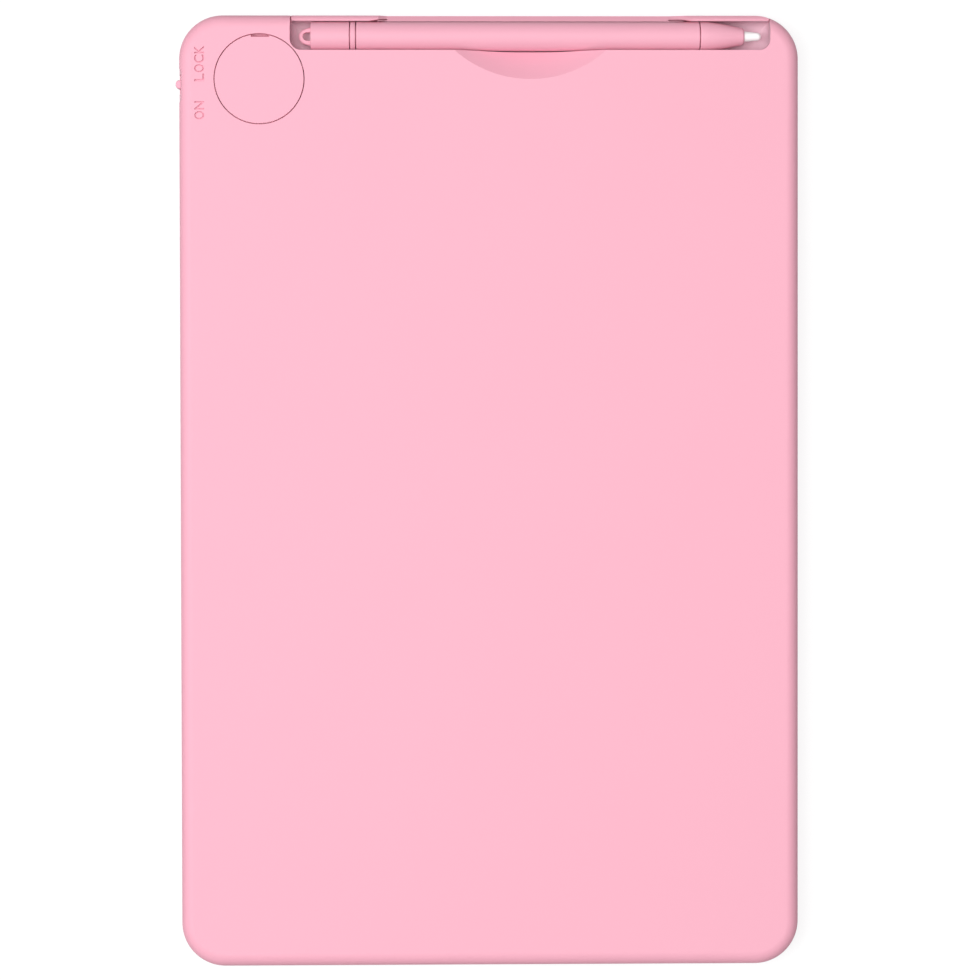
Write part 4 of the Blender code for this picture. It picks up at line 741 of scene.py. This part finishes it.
def make_back_moulding(pink, slot_painted_shade_pink):
    """The back half: a shell with all that is cut into it, with a paler, greyer pink painted inside the
    stylus slot as painted shade.
    """
    low = (-HALF_WIDTH, -HALF_LENGTH, SPLIT_Z)
    shell = block("back_moulding", low, SHELL_HIGH, CORNER_RADIUS)
    lean_sides(shell)
    round_edges(shell, at_height(BACK_Z), BACK_ROUND, EDGE_STEPS)
    round_edges(shell, at_height(SPLIT_Z), SEAM_ROUND, SMALL_STEPS)
    cut(shell, shell_cavity(), slot_cutter(), *lip_top_cutters(), lip_cut_cutter(), *lip_splits(),
        scoop_cutter())
    cut(shell, *battery_cutters(), *lock_cutters(), *hook_blocks(HOOK_GAP))
    for x in SCREW_XS:
        cut(shell, bar("boss_hole", x, BOARD_Y, BOSS_HOLE_RADIUS, CUP_LOW_Z - OVERRUN,
                       CUP_LOW_Z + BOSS_HOLE_DEPTH, PIN_SIDES))
    cut(shell, *(engraved_letter(*letter) for letter in LETTERS))
    hand_over(shell, "tablet", "casing", pink, "back_shell")
    # Painted shade: the slot's walls and floor get a paler, greyer pink, which lightens and greys the
    # shade inside the slot.
    shell.data.materials.append(slot_painted_shade_pink)
    pick(shell, faces=in_slot)
    shell.active_material_index = 1
    bpy.ops.object.material_slot_assign()
    done()
    finish_shape(shell)


def in_slot(face):
    """A test for the slot's own walls and floor, which get the painted shade: a smoother, paler and
    greyer pink.
    """
    middle = face.calc_center_median()
    return (SLOT_LEFT_X - HAIR < middle.x < SLOT_RIGHT_X + HAIR
            and SLOT_LOW_Y - HAIR < middle.y < SLOT_HIGH_Y + HAIR
            and CHANNEL_FLOOR_Z - HAIR < middle.z < BACK_Z - SMALL_ROUND)


def ring_block(name, low, high, corner, wall, inner_low_z):
    """An upright frame: one rounded block less another that is one wall smaller."""
    outer = block(name, low, high, corner)
    inner_low = (low[0] + wall, low[1] + wall, inner_low_z)
    inner_high = (high[0] - wall, high[1] - wall, high[2] + OVERRUN)
    cut(outer, block("inside", inner_low, inner_high, corner - wall))
    return outer


def make_front_moulding(pink):
    """The bezel: a thin plate round the window, with a tongue, snap hooks and a rail for the film."""
    plate = block("front_moulding", BEZEL_LOW, (HALF_WIDTH, HALF_LENGTH, BEZEL_PLATE), CORNER_RADIUS)
    round_edges(plate, at_height(0), FRONT_ROUND, EDGE_STEPS)
    round_edges(plate, at_height(BEZEL_PLATE), SEAM_ROUND, SMALL_STEPS)
    inset = SIDE_WALL + TONGUE_GAP
    tongue = ring_block("tongue", (-HALF_WIDTH + inset, -HALF_LENGTH + inset, BEZEL_PLATE / 2),
                        (HALF_WIDTH - inset, HALF_LENGTH - inset, BEZEL_HIGH.z), CORNER_RADIUS - inset,
                        TONGUE_WALL, BEZEL_PLATE)
    around = CHANNEL_WALL + SEAM_GAP
    cut(tongue, block("trough_gap", (SLOT_LEFT_X - around, SLOT_LOW_Y - around, BEZEL_PLATE),
                      (SLOT_RIGHT_X + around, HALF_LENGTH, BACK_Z)))
    grow = SEAM_GAP + FILM_RAIL
    rail_high_z = (BACKING_LOW.z + BACKING_HIGH.z) / 2
    rail = ring_block("film_rail", (FILM_LOW.x - grow, FILM_LOW.y - grow, BEZEL_PLATE / 2),
                      (FILM_HIGH.x + grow, FILM_HIGH.y + grow, rail_high_z), FILM_CORNER + grow,
                      FILM_RAIL, BEZEL_PLATE)
    cut(rail, block("tail_gap", (TAIL_LOW.x - SEAM_GAP, FILM_HIGH.y - OVERRUN, BEZEL_PLATE),
                    (TAIL_HIGH.x + SEAM_GAP, FILM_HIGH.y + grow + OVERRUN, BACK_Z)))
    add(plate, tongue, rail, *hook_blocks(0))
    window_low = (FILM_LOW.x + FILM_MARGIN, FILM_LOW.y + FILM_MARGIN, -OVERRUN)
    window_high = (FILM_HIGH.x - FILM_MARGIN, FILM_HIGH.y - FILM_MARGIN, BEZEL_PLATE + OVERRUN)
    cut(plate, block("window", window_low, window_high, WINDOW_CORNER))
    cut(plate, button_shape("button_hole", BUTTON_GAP, -OVERRUN, BEZEL_PLATE + OVERRUN))
    round_edges(plate, lambda edge: at_height(0)(edge) and all(
        FILM_LOW.x < vert.co.x < FILM_HIGH.x and FILM_LOW.y < vert.co.y < FILM_HIGH.y
        for vert in edge.verts), WINDOW_EDGE, SMALL_STEPS)
    finish_shape(plate)
    hand_over(plate, "tablet", "casing", pink, "front_bezel")


def button_shape(name, grow, low_z, high_z):
    """The erase button in plan, a slot shape with round ends, larger by some way all round."""
    half_x, half_y = BUTTON_HALF_X + grow, BUTTON_HALF_Y + grow
    return block(name, (BUTTON_X - half_x, BUTTON_Y - half_y, low_z),
                 (BUTTON_X + half_x, BUTTON_Y + half_y, high_z), half_y - HAIR)


def make_button(white):
    """The erase button: its face, a flange that keeps it in the bezel and a pip for the dome."""
    flange_high_z = BUTTON_FLANGE_Z + BUTTON_FLANGE_THICKNESS
    button = button_shape("screen_clear_button", 0, BUTTON_LOW.z,
                          BUTTON_FLANGE_Z + BUTTON_FLANGE_THICKNESS / 2)
    round_edges(button, at_height(BUTTON_LOW.z), BUTTON_EDGE, EDGE_STEPS)
    add(button, button_shape("flange", BUTTON_FLANGE, BUTTON_FLANGE_Z, flange_high_z))
    add(button, bar("pip", BUTTON_X, BUTTON_Y, BUTTON_PIP_RADIUS, BUTTON_FLANGE_Z, BUTTON_HIGH.z,
                    PIN_SIDES))
    finish_shape(button)
    hand_over(button, "button", "white_plastic", white, "erase_button")


def make_snap_dome(steel):
    """The dome under the button, a thin sheet with a pinhole; it is modelled in one shape and does not
    flatten as the button goes in.
    """
    rings = []
    for step in range(EDGE_STEPS):
        share = 1 - step / EDGE_STEPS
        rings.append((DOME_RISE * (1 - share ** 2), DOME_RADIUS * share))
    thin = (DOME_RADIUS - DOME_SHEET) / DOME_RADIUS
    inner = [(max(0.0, drop - DOME_SHEET), thin * radius) for drop, radius in reversed(rings)]
    rings += inner + rings[:1]
    middle = Vector((BUTTON_X, BUTTON_Y, DOME_HIGH.z))
    dome = start_ring("snap_dome", DOME_RADIUS, middle, PIN_SIDES)
    for (from_drop, from_radius), (drop, radius) in zip(rings, rings[1:]):
        ratio = radius / from_radius
        extrude_ring((0, 0, from_drop - drop), (ratio, ratio, 1), middle)
    weld()
    face_outwards()
    finish_shape(dome)
    hand_over(dome, "tablet", "steel", steel, "metal_dome")
    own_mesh(dome)


def make_cell(steel):
    """The coin cell: a rolled can over a smaller cap, with a plus sign in its top."""
    can_z = CELL_LOW.z + CELL_STEP
    cell = bar("button_cell", BATTERY_X, BATTERY_Y, CELL_RADIUS, can_z, CELL_HIGH.z)
    round_edges(cell, at_height(CELL_HIGH.z), CELL_STEP / 2, EDGE_STEPS)
    round_edges(cell, at_height(can_z), CELL_STEP / 2, EDGE_STEPS)
    cap = bar("cap", BATTERY_X, BATTERY_Y, CELL_RADIUS - 2 * CELL_STEP, CELL_LOW.z,
              CELL_LOW.z + 2 * CELL_STEP)
    round_edges(cap, at_height(CELL_LOW.z), CELL_STEP / 2, EDGE_STEPS)
    add(cell, cap)
    for reach_x, reach_y in ((PLUS_REACH, PLUS_STROKE), (PLUS_STROKE, PLUS_REACH)):
        low = (BATTERY_X - reach_x, BATTERY_Y - reach_y, CELL_HIGH.z - PLUS_DEPTH)
        high = (BATTERY_X + reach_x, BATTERY_Y + reach_y, CELL_HIGH.z + OVERRUN)
        cut(cell, block("plus_stroke", low, high))
    finish_shape(cell)
    hand_over(cell, "cell", "steel", steel, "coin_cell")


def turn_piece(name, rings):
    """A round piece about the stylus's axis, drawn out ring by ring from left to right.

    Rings are places along X and radii. It is a tube if the rings come back to the first one.
    """
    x, radius = rings[0]
    made = start_ring(name, radius, (x, PEN_Y, PEN_Z), PEN_SIDES, math.pi / 2)
    for next_x, next_radius in rings[1:]:
        ratio = next_radius / radius
        extrude_ring((next_x - x, 0, 0), (1, ratio, ratio), (next_x, PEN_Y, PEN_Z))
        x, radius = next_x, next_radius
    weld()
    bpy.ops.mesh.select_all(action="DESELECT")
    bpy.ops.mesh.select_non_manifold()
    bpy.ops.mesh.edge_face_add()
    face_outwards()
    return made


def soft_end(x, inward):
    """The rings of a small round at an end of the stylus's rod, which faces left (1) or right (-1)."""
    rings = []
    for step in range(SMALL_STEPS + 1):
        turn = math.pi / 2 * step / SMALL_STEPS
        rings.append((x + inward * PEN_EDGE * (1 - math.sin(turn)),
                      PEN_RADIUS - PEN_EDGE * (1 - math.cos(turn))))
    return rings


def rod_rings(low_x, high_x):
    """The rings of a rod as thick as the stylus, with soft ends."""
    return soft_end(low_x, 1)[::-1] + soft_end(high_x, -1)


def sleeve(name, low_x, high_x, bore):
    """A tube as thick as the stylus, with soft ends."""
    return turn_piece(name, [(low_x, bore)] + rod_rings(low_x, high_x) + [(high_x, bore), (low_x, bore)])


def make_stylus(pink, white):
    """The stylus's five pieces: tail with its eyelet, collar, tube, nose and nib."""
    bore = PEN_RADIUS - PEN_BORE_WALL
    spigot = bore - PEN_FIT_GAP
    cap_x = CAP_LOW.x + EYELET_LENGTH
    cap_end = cap_x + TAIL_CAP_LENGTH + PEN_JOINT_REACH
    tail = turn_piece("stylus_tail",
                      rod_rings(cap_x, cap_end) + [(cap_end, spigot), (CAP_HIGH.x, spigot)])
    shape_eyelet(tail, cap_x)
    collar = sleeve("stylus_collar", RING_LOW.x, RING_HIGH.x, bore)
    tube = sleeve("stylus_tube", BARREL_LOW.x - PEN_JOINT_REACH, BARREL_HIGH.x, bore)
    nose = make_nose(spigot)
    nib = make_nib()
    for piece, node in ((tail, "stylus_tail_cap"), (collar, "stylus_ring"), (tube, "stylus_barrel"),
                        (nose, "stylus_nose")):
        finish_shape(piece)
        hand_over(piece, "stylus", "casing", pink, node)
    finish_shape(nib)
    hand_over(nib, "stylus", "white_plastic", white, "stylus_nib")


def shape_eyelet(tail, cap_x):
    """The flat loop on the tail: wide at the cap, round at its end, with a half-round hole."""
    half = EYELET_WIDTH / 2
    low_z, high_z = EYELET_Z - EYELET_THICKNESS / 2, EYELET_Z + EYELET_THICKNESS / 2
    loop = block("eyelet", (CAP_LOW.x, PEN_Y - half, low_z), (cap_x + EYELET_RIM, PEN_Y + half, high_z))
    spread(loop, (1, EYELET_TIP_RADIUS / half, 1), (0, PEN_Y, 0),
           faces=lambda face: face.normal.x < -FACING)
    round_edges(loop, lambda edge: upright(edge) and edge.verts[0].co.x < cap_x,
                EYELET_TIP_RADIUS * EYELET_TIP_SHARE, EDGE_STEPS)
    for z in (low_z, high_z):
        round_edges(loop, at_height(z), EYELET_EDGE, EDGE_STEPS // 2)
    hole_x = CAP_LOW.x + EYELET_RIM + EYELET_HOLE_RADIUS
    low_z, high_z = EYELET_Z - EYELET_THICKNESS, EYELET_Z + EYELET_THICKNESS
    hole = bar("eyelet_hole", hole_x, PEN_Y, EYELET_HOLE_RADIUS, low_z, high_z, PIN_SIDES)
    add(hole, block("hole_end", (hole_x, PEN_Y - EYELET_HOLE_RADIUS, low_z),
                    (cap_x - PEN_EDGE, PEN_Y + EYELET_HOLE_RADIUS, high_z)))
    cut(loop, hole)
    add(tail, loop)


def make_nose(spigot):
    """The nose: straight, then an even curve down to a rounded end, with the nib's bore."""
    bore = NIB_RADIUS + PEN_FIT_GAP
    face = NOSE_HIGH.x
    joint_x = BARREL_HIGH.x + PEN_JOINT_GAP - PEN_JOINT_REACH
    taper_start, taper_end = joint_x + NOSE_STRAIGHT, face - NOSE_END_ROUND
    rings = [(NOSE_LOW.x, spigot), (joint_x, spigot)] + soft_end(joint_x, 1)[::-1]
    for step in range(EDGE_STEPS + 1):
        share = step / EDGE_STEPS
        drop = share ** NOSE_CURVE
        radius = PEN_RADIUS - (PEN_RADIUS - NOSE_END_RADIUS) * drop
        rings.append((taper_start + (taper_end - taper_start) * share, radius))
    for step in range(1, EDGE_STEPS + 1):
        turn = math.pi / 2 * step / EDGE_STEPS
        radius = NOSE_END_RADIUS - NOSE_END_ROUND * (1 - math.cos(turn))
        rings.append((taper_end + NOSE_END_ROUND * math.sin(turn), max(radius, bore)))
    rings += [(face - NIB_SHANK_LENGTH - PEN_JOINT_GAP, bore)]
    return turn_piece("stylus_point", rings)


def make_nib():
    """The white nib: a plain shank in the nose and a slightly tapered round tip."""
    face = NIB_HIGH.x - NIB_LENGTH
    rings = [(NIB_LOW.x, NIB_RADIUS), (face, NIB_RADIUS)]
    centre = NIB_HIGH.x - NIB_TIP_RADIUS
    for step in range(EDGE_STEPS):
        turn = math.pi / 2 * (1 - step / EDGE_STEPS)
        rings.append((centre + NIB_TIP_RADIUS * math.cos(turn), NIB_TIP_RADIUS * math.sin(turn)))
    rings.append((NIB_HIGH.x, HAIR))
    return turn_piece("writing_nib", rings)


def make_battery_lid(pink):
    """The push-in lid with a soft edge, a sloped nick for a fingernail and four thin tabs below."""
    lid = bar("battery_lid", BATTERY_X, BATTERY_Y, COVER_RADIUS, COVER_LOW_Z, BACK_Z)
    round_edges(lid, at_height(BACK_Z), SMALL_ROUND, SMALL_STEPS)
    nick_y, low_z, high_z = BATTERY_Y + COVER_RADIUS - PRY_REACH, BACK_Z - PRY_DEPTH, BACK_Z + PRY_DEPTH
    nick = block("pry_nick", (PRY_X - PRY_HALF, nick_y, low_z), (PRY_X + PRY_HALF, HALF_LENGTH, high_z))
    for z, move in ((low_z, PRY_SLOPE), (high_z, -PRY_SLOPE)):
        shift(nick, (0, move, 0), edges=lambda edge: at_height(z)(edge)
              and all(vert.co.y < nick_y + HAIR for vert in edge.verts))
    cut(lid, nick)
    outer = COVER_RADIUS - SMALL_ROUND
    for turn in COVER_TAB_TURNS:
        add(lid, turned_block("tab", outer - COVER_TAB_THICKNESS, outer, COVER_TAB_WIDTH,
                              COVER_LOW.z, COVER_LOW_Z + COVER_THICKNESS / 2, turn))
    finish_shape(lid)
    hand_over(lid, "cover", "casing", pink, "battery_cover")


def make_slider_knob(pink):
    """The knob in the side with its guide plate and the fork that moves the switch."""
    half, half_z = KNOB_WIDTH / 2, KNOB_HEIGHT / 2
    knob = block("slider_knob", (SLIDER_LOW.x, SLIDER_Y - half, SLIDER_Z - half_z),
                 (SLIDER_X + SLIDER_PLATE / 2, SLIDER_Y + half, SLIDER_Z + half_z))
    round_edges(knob, lambda edge: upright(edge) and edge.verts[0].co.x < SLIDER_LOW.x + HAIR,
                KNOB_END_ROUND, EDGE_STEPS)
    for z in (SLIDER_Z - half_z, SLIDER_Z + half_z):
        round_edges(knob, at_height(z), KNOB_ROUND, EDGE_STEPS)
    add(knob, block("plate", (SLIDER_X, SLIDER_LOW.y, SLIDER_LOW.z),
                    (SLIDER_X + SLIDER_PLATE, SLIDER_HIGH.y, SLIDER_HIGH.z)))
    near = (LEVER_HIGH.y - LEVER_LOW.y) / 2 + FORK_GAP
    for side in (-1, 1):
        low_y, high_y = sorted((SLIDER_Y + side * near, SLIDER_Y + side * (near + SLIDER_FORK)))
        add(knob, block("prong", (SLIDER_X + SLIDER_PLATE / 2, low_y, LEVER_LOW.z),
                        (SLIDER_HIGH.x, high_y, LEVER_HIGH.z)))
    finish_shape(knob)
    hand_over(knob, "lock", "casing", pink, "lock_slider")


def new_node(tree, kind, values, **settings):
    """A node with some inputs given: an output is linked, and a number or colour is set."""
    made = tree.nodes.new("ShaderNode" + kind)
    for name, value in settings.items():
        setattr(made, name, value)
    for name, value in values.items():
        if isinstance(value, bpy.types.NodeSocket):
            tree.links.new(value, made.inputs[name])
        else:
            made.inputs[name].default_value = value
    return made


def new_finish(name, colour, roughness, metallic=0.0):
    """A Principled finish and the shader in it."""
    made = bpy.data.materials.new(name)
    made.use_nodes = True
    shader = made.node_tree.nodes["Principled BSDF"]
    shader.inputs["Base Color"].default_value = (*colour, 1.0)
    shader.inputs["Roughness"].default_value = roughness
    shader.inputs["Metallic"].default_value = metallic
    return made, shader


def own_place(tree, stretch=(1.0, 1.0, 1.0)):
    """The piece's own coordinates. A pattern is drawn out along the axes where the stretch is below 1."""
    place = new_node(tree, "TexCoord", {}).outputs["Object"]
    return new_node(tree, "Mapping", {"Scale": stretch, "Vector": place}).outputs["Vector"]


def grain(size, detail=2.0, stretch=(1.0, 1.0, 1.0)):
    """A noise whose features have this size."""
    return lambda tree: new_node(tree, "TexNoise", {
        "Scale": METRE / size, "Detail": detail, "Vector": own_place(tree, stretch)}).outputs["Fac"]


def cells(size):
    """A pattern of cells of this size, as in foam."""
    return lambda tree: new_node(tree, "TexVoronoi", {
        "Scale": METRE / size, "Vector": own_place(tree)}).outputs["Distance"]


def lines(size, axis):
    """Parallel lines this far apart across one axis."""
    return lambda tree: new_node(tree, "TexWave", {
        "Scale": METRE / size * WAVE_SCALE, "Vector": own_place(tree)},
        bands_direction=axis).outputs["Fac"]


def make_finish(name, colour, roughness, rough, raised=None, tinted=None, metallic=0.0):
    """A finish whose roughness, relief and colour each follow a pattern.

    rough is a pattern and two values, raised a pattern and a height, tinted a pattern and two colours.
    """
    made, shader = new_finish(name, colour, roughness, metallic)
    tree = made.node_tree
    pattern, low, high = rough
    shade = new_node(tree, "MapRange", {"To Min": low, "To Max": high, "Value": pattern(tree)})
    tree.links.new(shade.outputs["Result"], shader.inputs["Roughness"])
    if raised:
        pattern, height = raised
        bump = new_node(tree, "Bump", {"Distance": height / METRE, "Strength": 1.0,
                                       "Height": pattern(tree)})
        tree.links.new(bump.outputs["Normal"], shader.inputs["Normal"])
    if tinted:
        pattern, first, second = tinted
        mix = new_node(tree, "Mix", {"A": (*first, 1.0), "B": (*second, 1.0), "Factor": pattern(tree)},
                       data_type="RGBA")
        tree.links.new(mix.outputs["Result"], shader.inputs["Base Color"])
    return made


def brushed_metal(name, colour, roughness, stretch):
    """Plated or rolled metal with faint lines along one way."""
    strokes = grain(METAL_STROKE, METAL_DETAIL, stretch)
    low, high = (roughness + change for change in METAL_ROUGH)
    darker = tuple(METAL_SHADE * share for share in colour)
    return make_finish(name, colour, roughness, (strokes, low, high), (strokes, METAL_RELIEF),
                       (strokes, colour, darker), 1.0)


def plain_finish(name, colour, darker, roughness):
    """A dull inner piece: a fine even grain."""
    fine = grain(PLAIN_GRAIN)
    return make_finish(name, colour, roughness, (fine, roughness - PLAIN_ROUGH, roughness + PLAIN_ROUGH),
                       (fine, PLAIN_RELIEF), (grain(PLAIN_PATCH), colour, darker))


def make_finishes():
    """A finish for each material slot. Tracks run over the board and along the lead."""
    tracks, leads, bubbles = lines(1.1, "Y"), lines(0.8, "X"), cells(0.45)
    return {
        "casing": make_finish(
            "pink_moulded_plastic", PINK, 0.6, (grain(0.4), 0.56, 0.64), (grain(0.14), 0.003),
            (grain(30.0), PINK, (0.842, 0.395, 0.498))),
        "white_plastic": make_finish(
            "white_nib_plastic", (0.95, 0.95, 0.94), 0.4, (grain(0.4), 0.36, 0.46), (grain(0.2), 0.002)),
        "film": make_finish(
            "dark_film", (0.016, 0.02, 0.026), 0.22, (grain(0.3), 0.2, 0.26), (grain(0.09), 0.0006),
            (grain(60.0), (0.016, 0.02, 0.026), (0.02, 0.026, 0.032))),
        "tape": plain_finish("black_tape", (0.02, 0.02, 0.02), (0.03, 0.03, 0.03), 0.7),
        "backing": plain_finish("grey_sheet", (0.2, 0.2, 0.21), (0.18, 0.18, 0.19), 0.6),
        "foam": make_finish(
            "grey_foam", (0.12, 0.12, 0.12), 0.9, (bubbles, 0.85, 0.98), (bubbles, 0.15),
            (bubbles, (0.05, 0.05, 0.05), (0.16, 0.16, 0.16))),
        "board": make_finish(
            "green_board", (0.03, 0.16, 0.08), 0.35, (grain(0.5), 0.3, 0.42), (tracks, 0.02),
            (tracks, (0.02, 0.13, 0.06), (0.05, 0.24, 0.11))),
        "resin": plain_finish("black_resin", (0.02, 0.02, 0.025), (0.03, 0.03, 0.035), 0.4),
        "ceramic": plain_finish("tan_ceramic", (0.6, 0.48, 0.3), (0.55, 0.43, 0.27), 0.5),
        "flex": make_finish(
            "amber_foil", (0.62, 0.3, 0.08), 0.3, (grain(0.6), 0.26, 0.36), (leads, 0.01),
            (leads, (0.62, 0.3, 0.08), (0.44, 0.19, 0.05))),
        "steel": brushed_metal("nickel_plated_steel", (0.6, 0.6, 0.62), 0.28, (1.0, 0.08, 1.0)),
    }


def dress_nodes(finishes):
    """Give each node that stays its procedural finish, by the record's material slots."""
    for entry in frame["record"]["subparts"]:
        node = frame["nodes"][entry["node"]]
        node.data.materials.clear()
        node.data.materials.append(finishes[entry["material_slot"]])


def make_floor():
    """A pale floor that looks white and keeps the shadow, and is clear from below."""
    bpy.ops.object.select_all(action="DESELECT")
    bpy.ops.mesh.primitive_plane_add(size=FLOOR_SIZE, location=(0, 0, -FLOOR_GAP))
    floor = name_new("floor")
    made, shader = new_finish("pale_floor", (FLOOR_TONE,) * 3, FLOOR_ROUGHNESS)
    tree = made.node_tree
    place = new_node(tree, "TexCoord", {})
    reach = new_node(tree, "VectorMath", {0: place.outputs["Object"]}, operation="LENGTH")
    rise = new_node(tree, "MapRange", {
        "From Min": FLOOR_GLOW_REACH[0], "From Max": FLOOR_GLOW_REACH[1],
        "To Min": FLOOR_GLOW[0], "To Max": FLOOR_GLOW[1], "Value": reach.outputs["Value"]})
    glow = new_node(tree, "Emission", {"Strength": rise.outputs["Result"]})
    rays = new_node(tree, "LightPath", {})
    share = new_node(tree, "Math", {0: rays.outputs["Is Camera Ray"], 1: FLOOR_GLOW_SHARE},
                     operation="MULTIPLY")
    seen = new_node(tree, "MixShader", {0: share.outputs["Value"], 1: shader.outputs["BSDF"],
                                        2: glow.outputs["Emission"]})
    side = new_node(tree, "NewGeometry", {})
    clear = new_node(tree, "BsdfTransparent", {})
    both = new_node(tree, "MixShader", {0: side.outputs["Backfacing"], 1: seen.outputs["Shader"],
                                        2: clear.outputs["BSDF"]})
    tree.links.new(both.outputs["Shader"], tree.nodes["Material Output"].inputs["Surface"])
    floor.data.materials.append(made)
    floor.visible_diffuse = False
    floor.visible_shadow = False


def lamp(name, place, size, power):
    """A soft rectangular lamp that faces the middle of the tablet."""
    data = bpy.data.lights.new(name, "AREA")
    data.shape = "RECTANGLE"
    data.size, data.size_y = size
    data.energy = power
    made = bpy.data.objects.new(name, data)
    bpy.context.scene.collection.objects.link(made)
    made.location = place
    made.rotation_euler = (Vector((0, 0, 0)) - Vector(place)).to_track_quat("-Z", "Y").to_euler()
    made.visible_camera = False


def light_scene():
    """The lamps and a room that is dim as a light, and white where it is seen or mirrored."""
    for name, place, size, power in LAMPS:
        lamp(name, place, size, power)
    world = bpy.data.worlds.new("white_room")
    bpy.context.scene.world = world
    world.use_nodes = True
    tree = world.node_tree
    rays = new_node(tree, "LightPath", {})
    either = new_node(tree, "Math", {0: rays.outputs["Is Camera Ray"], 1: rays.outputs["Is Glossy Ray"]},
                      operation="MAXIMUM")
    seen = new_node(tree, "MapRange", {"To Min": ROOM_LIGHT, "To Max": ROOM_SEEN,
                                       "Value": either.outputs["Value"]})
    background = tree.nodes["Background"]
    background.inputs["Color"].default_value = (1, 1, 1, 1)
    tree.links.new(seen.outputs["Result"], background.inputs["Strength"])


def place_camera():
    """The photograph's view: from above the back, tilted by about one degree each way."""
    data = bpy.data.cameras.new("photo_camera")
    data.lens = CAMERA_LENS
    data.sensor_width = CAMERA_SENSOR
    camera = bpy.data.objects.new("photo_camera", data)
    bpy.context.scene.collection.objects.link(camera)
    camera.rotation_euler = [math.radians(angle) for angle in CAMERA_TILT]
    aim = Vector(CAMERA_AIM) / METRE
    camera.location = aim + camera.rotation_euler.to_matrix() @ Vector((0, 0, CAMERA_DISTANCE))
    bpy.context.scene.camera = camera


def main():
    finishes = make_finishes()
    pink, white = finishes["casing"], finishes["white_plastic"]
    # Painted shade for the stylus slot: a smoother, paler and greyer pink, so the shaded slot reads
    # lighter and greyer.
    slot_painted_shade_pink = make_finish("pink_plastic_painted_slot_shade", SLOT_PAINTED_SHADE_PINK, 0.5, (grain(0.8), 0.46, 0.54),
                              tinted=(grain(20.0), SLOT_PAINTED_SHADE_PINK, (0.72, 0.477, 0.55)))
    cell_steel = brushed_metal("stainless_cell_can", (0.66, 0.66, 0.67), 0.24, (0.06, 1.0, 1.0))
    dress_nodes(finishes)
    make_back_moulding(pink, slot_painted_shade_pink)
    make_front_moulding(pink)
    make_button(white)
    make_snap_dome(finishes["steel"])
    make_cell(cell_steel)
    make_stylus(pink, white)
    make_battery_lid(pink)
    make_slider_knob(pink)
    make_floor()
    light_scene()
    place_camera()
    bpy.context.scene.view_settings.view_transform = "Standard"


main()
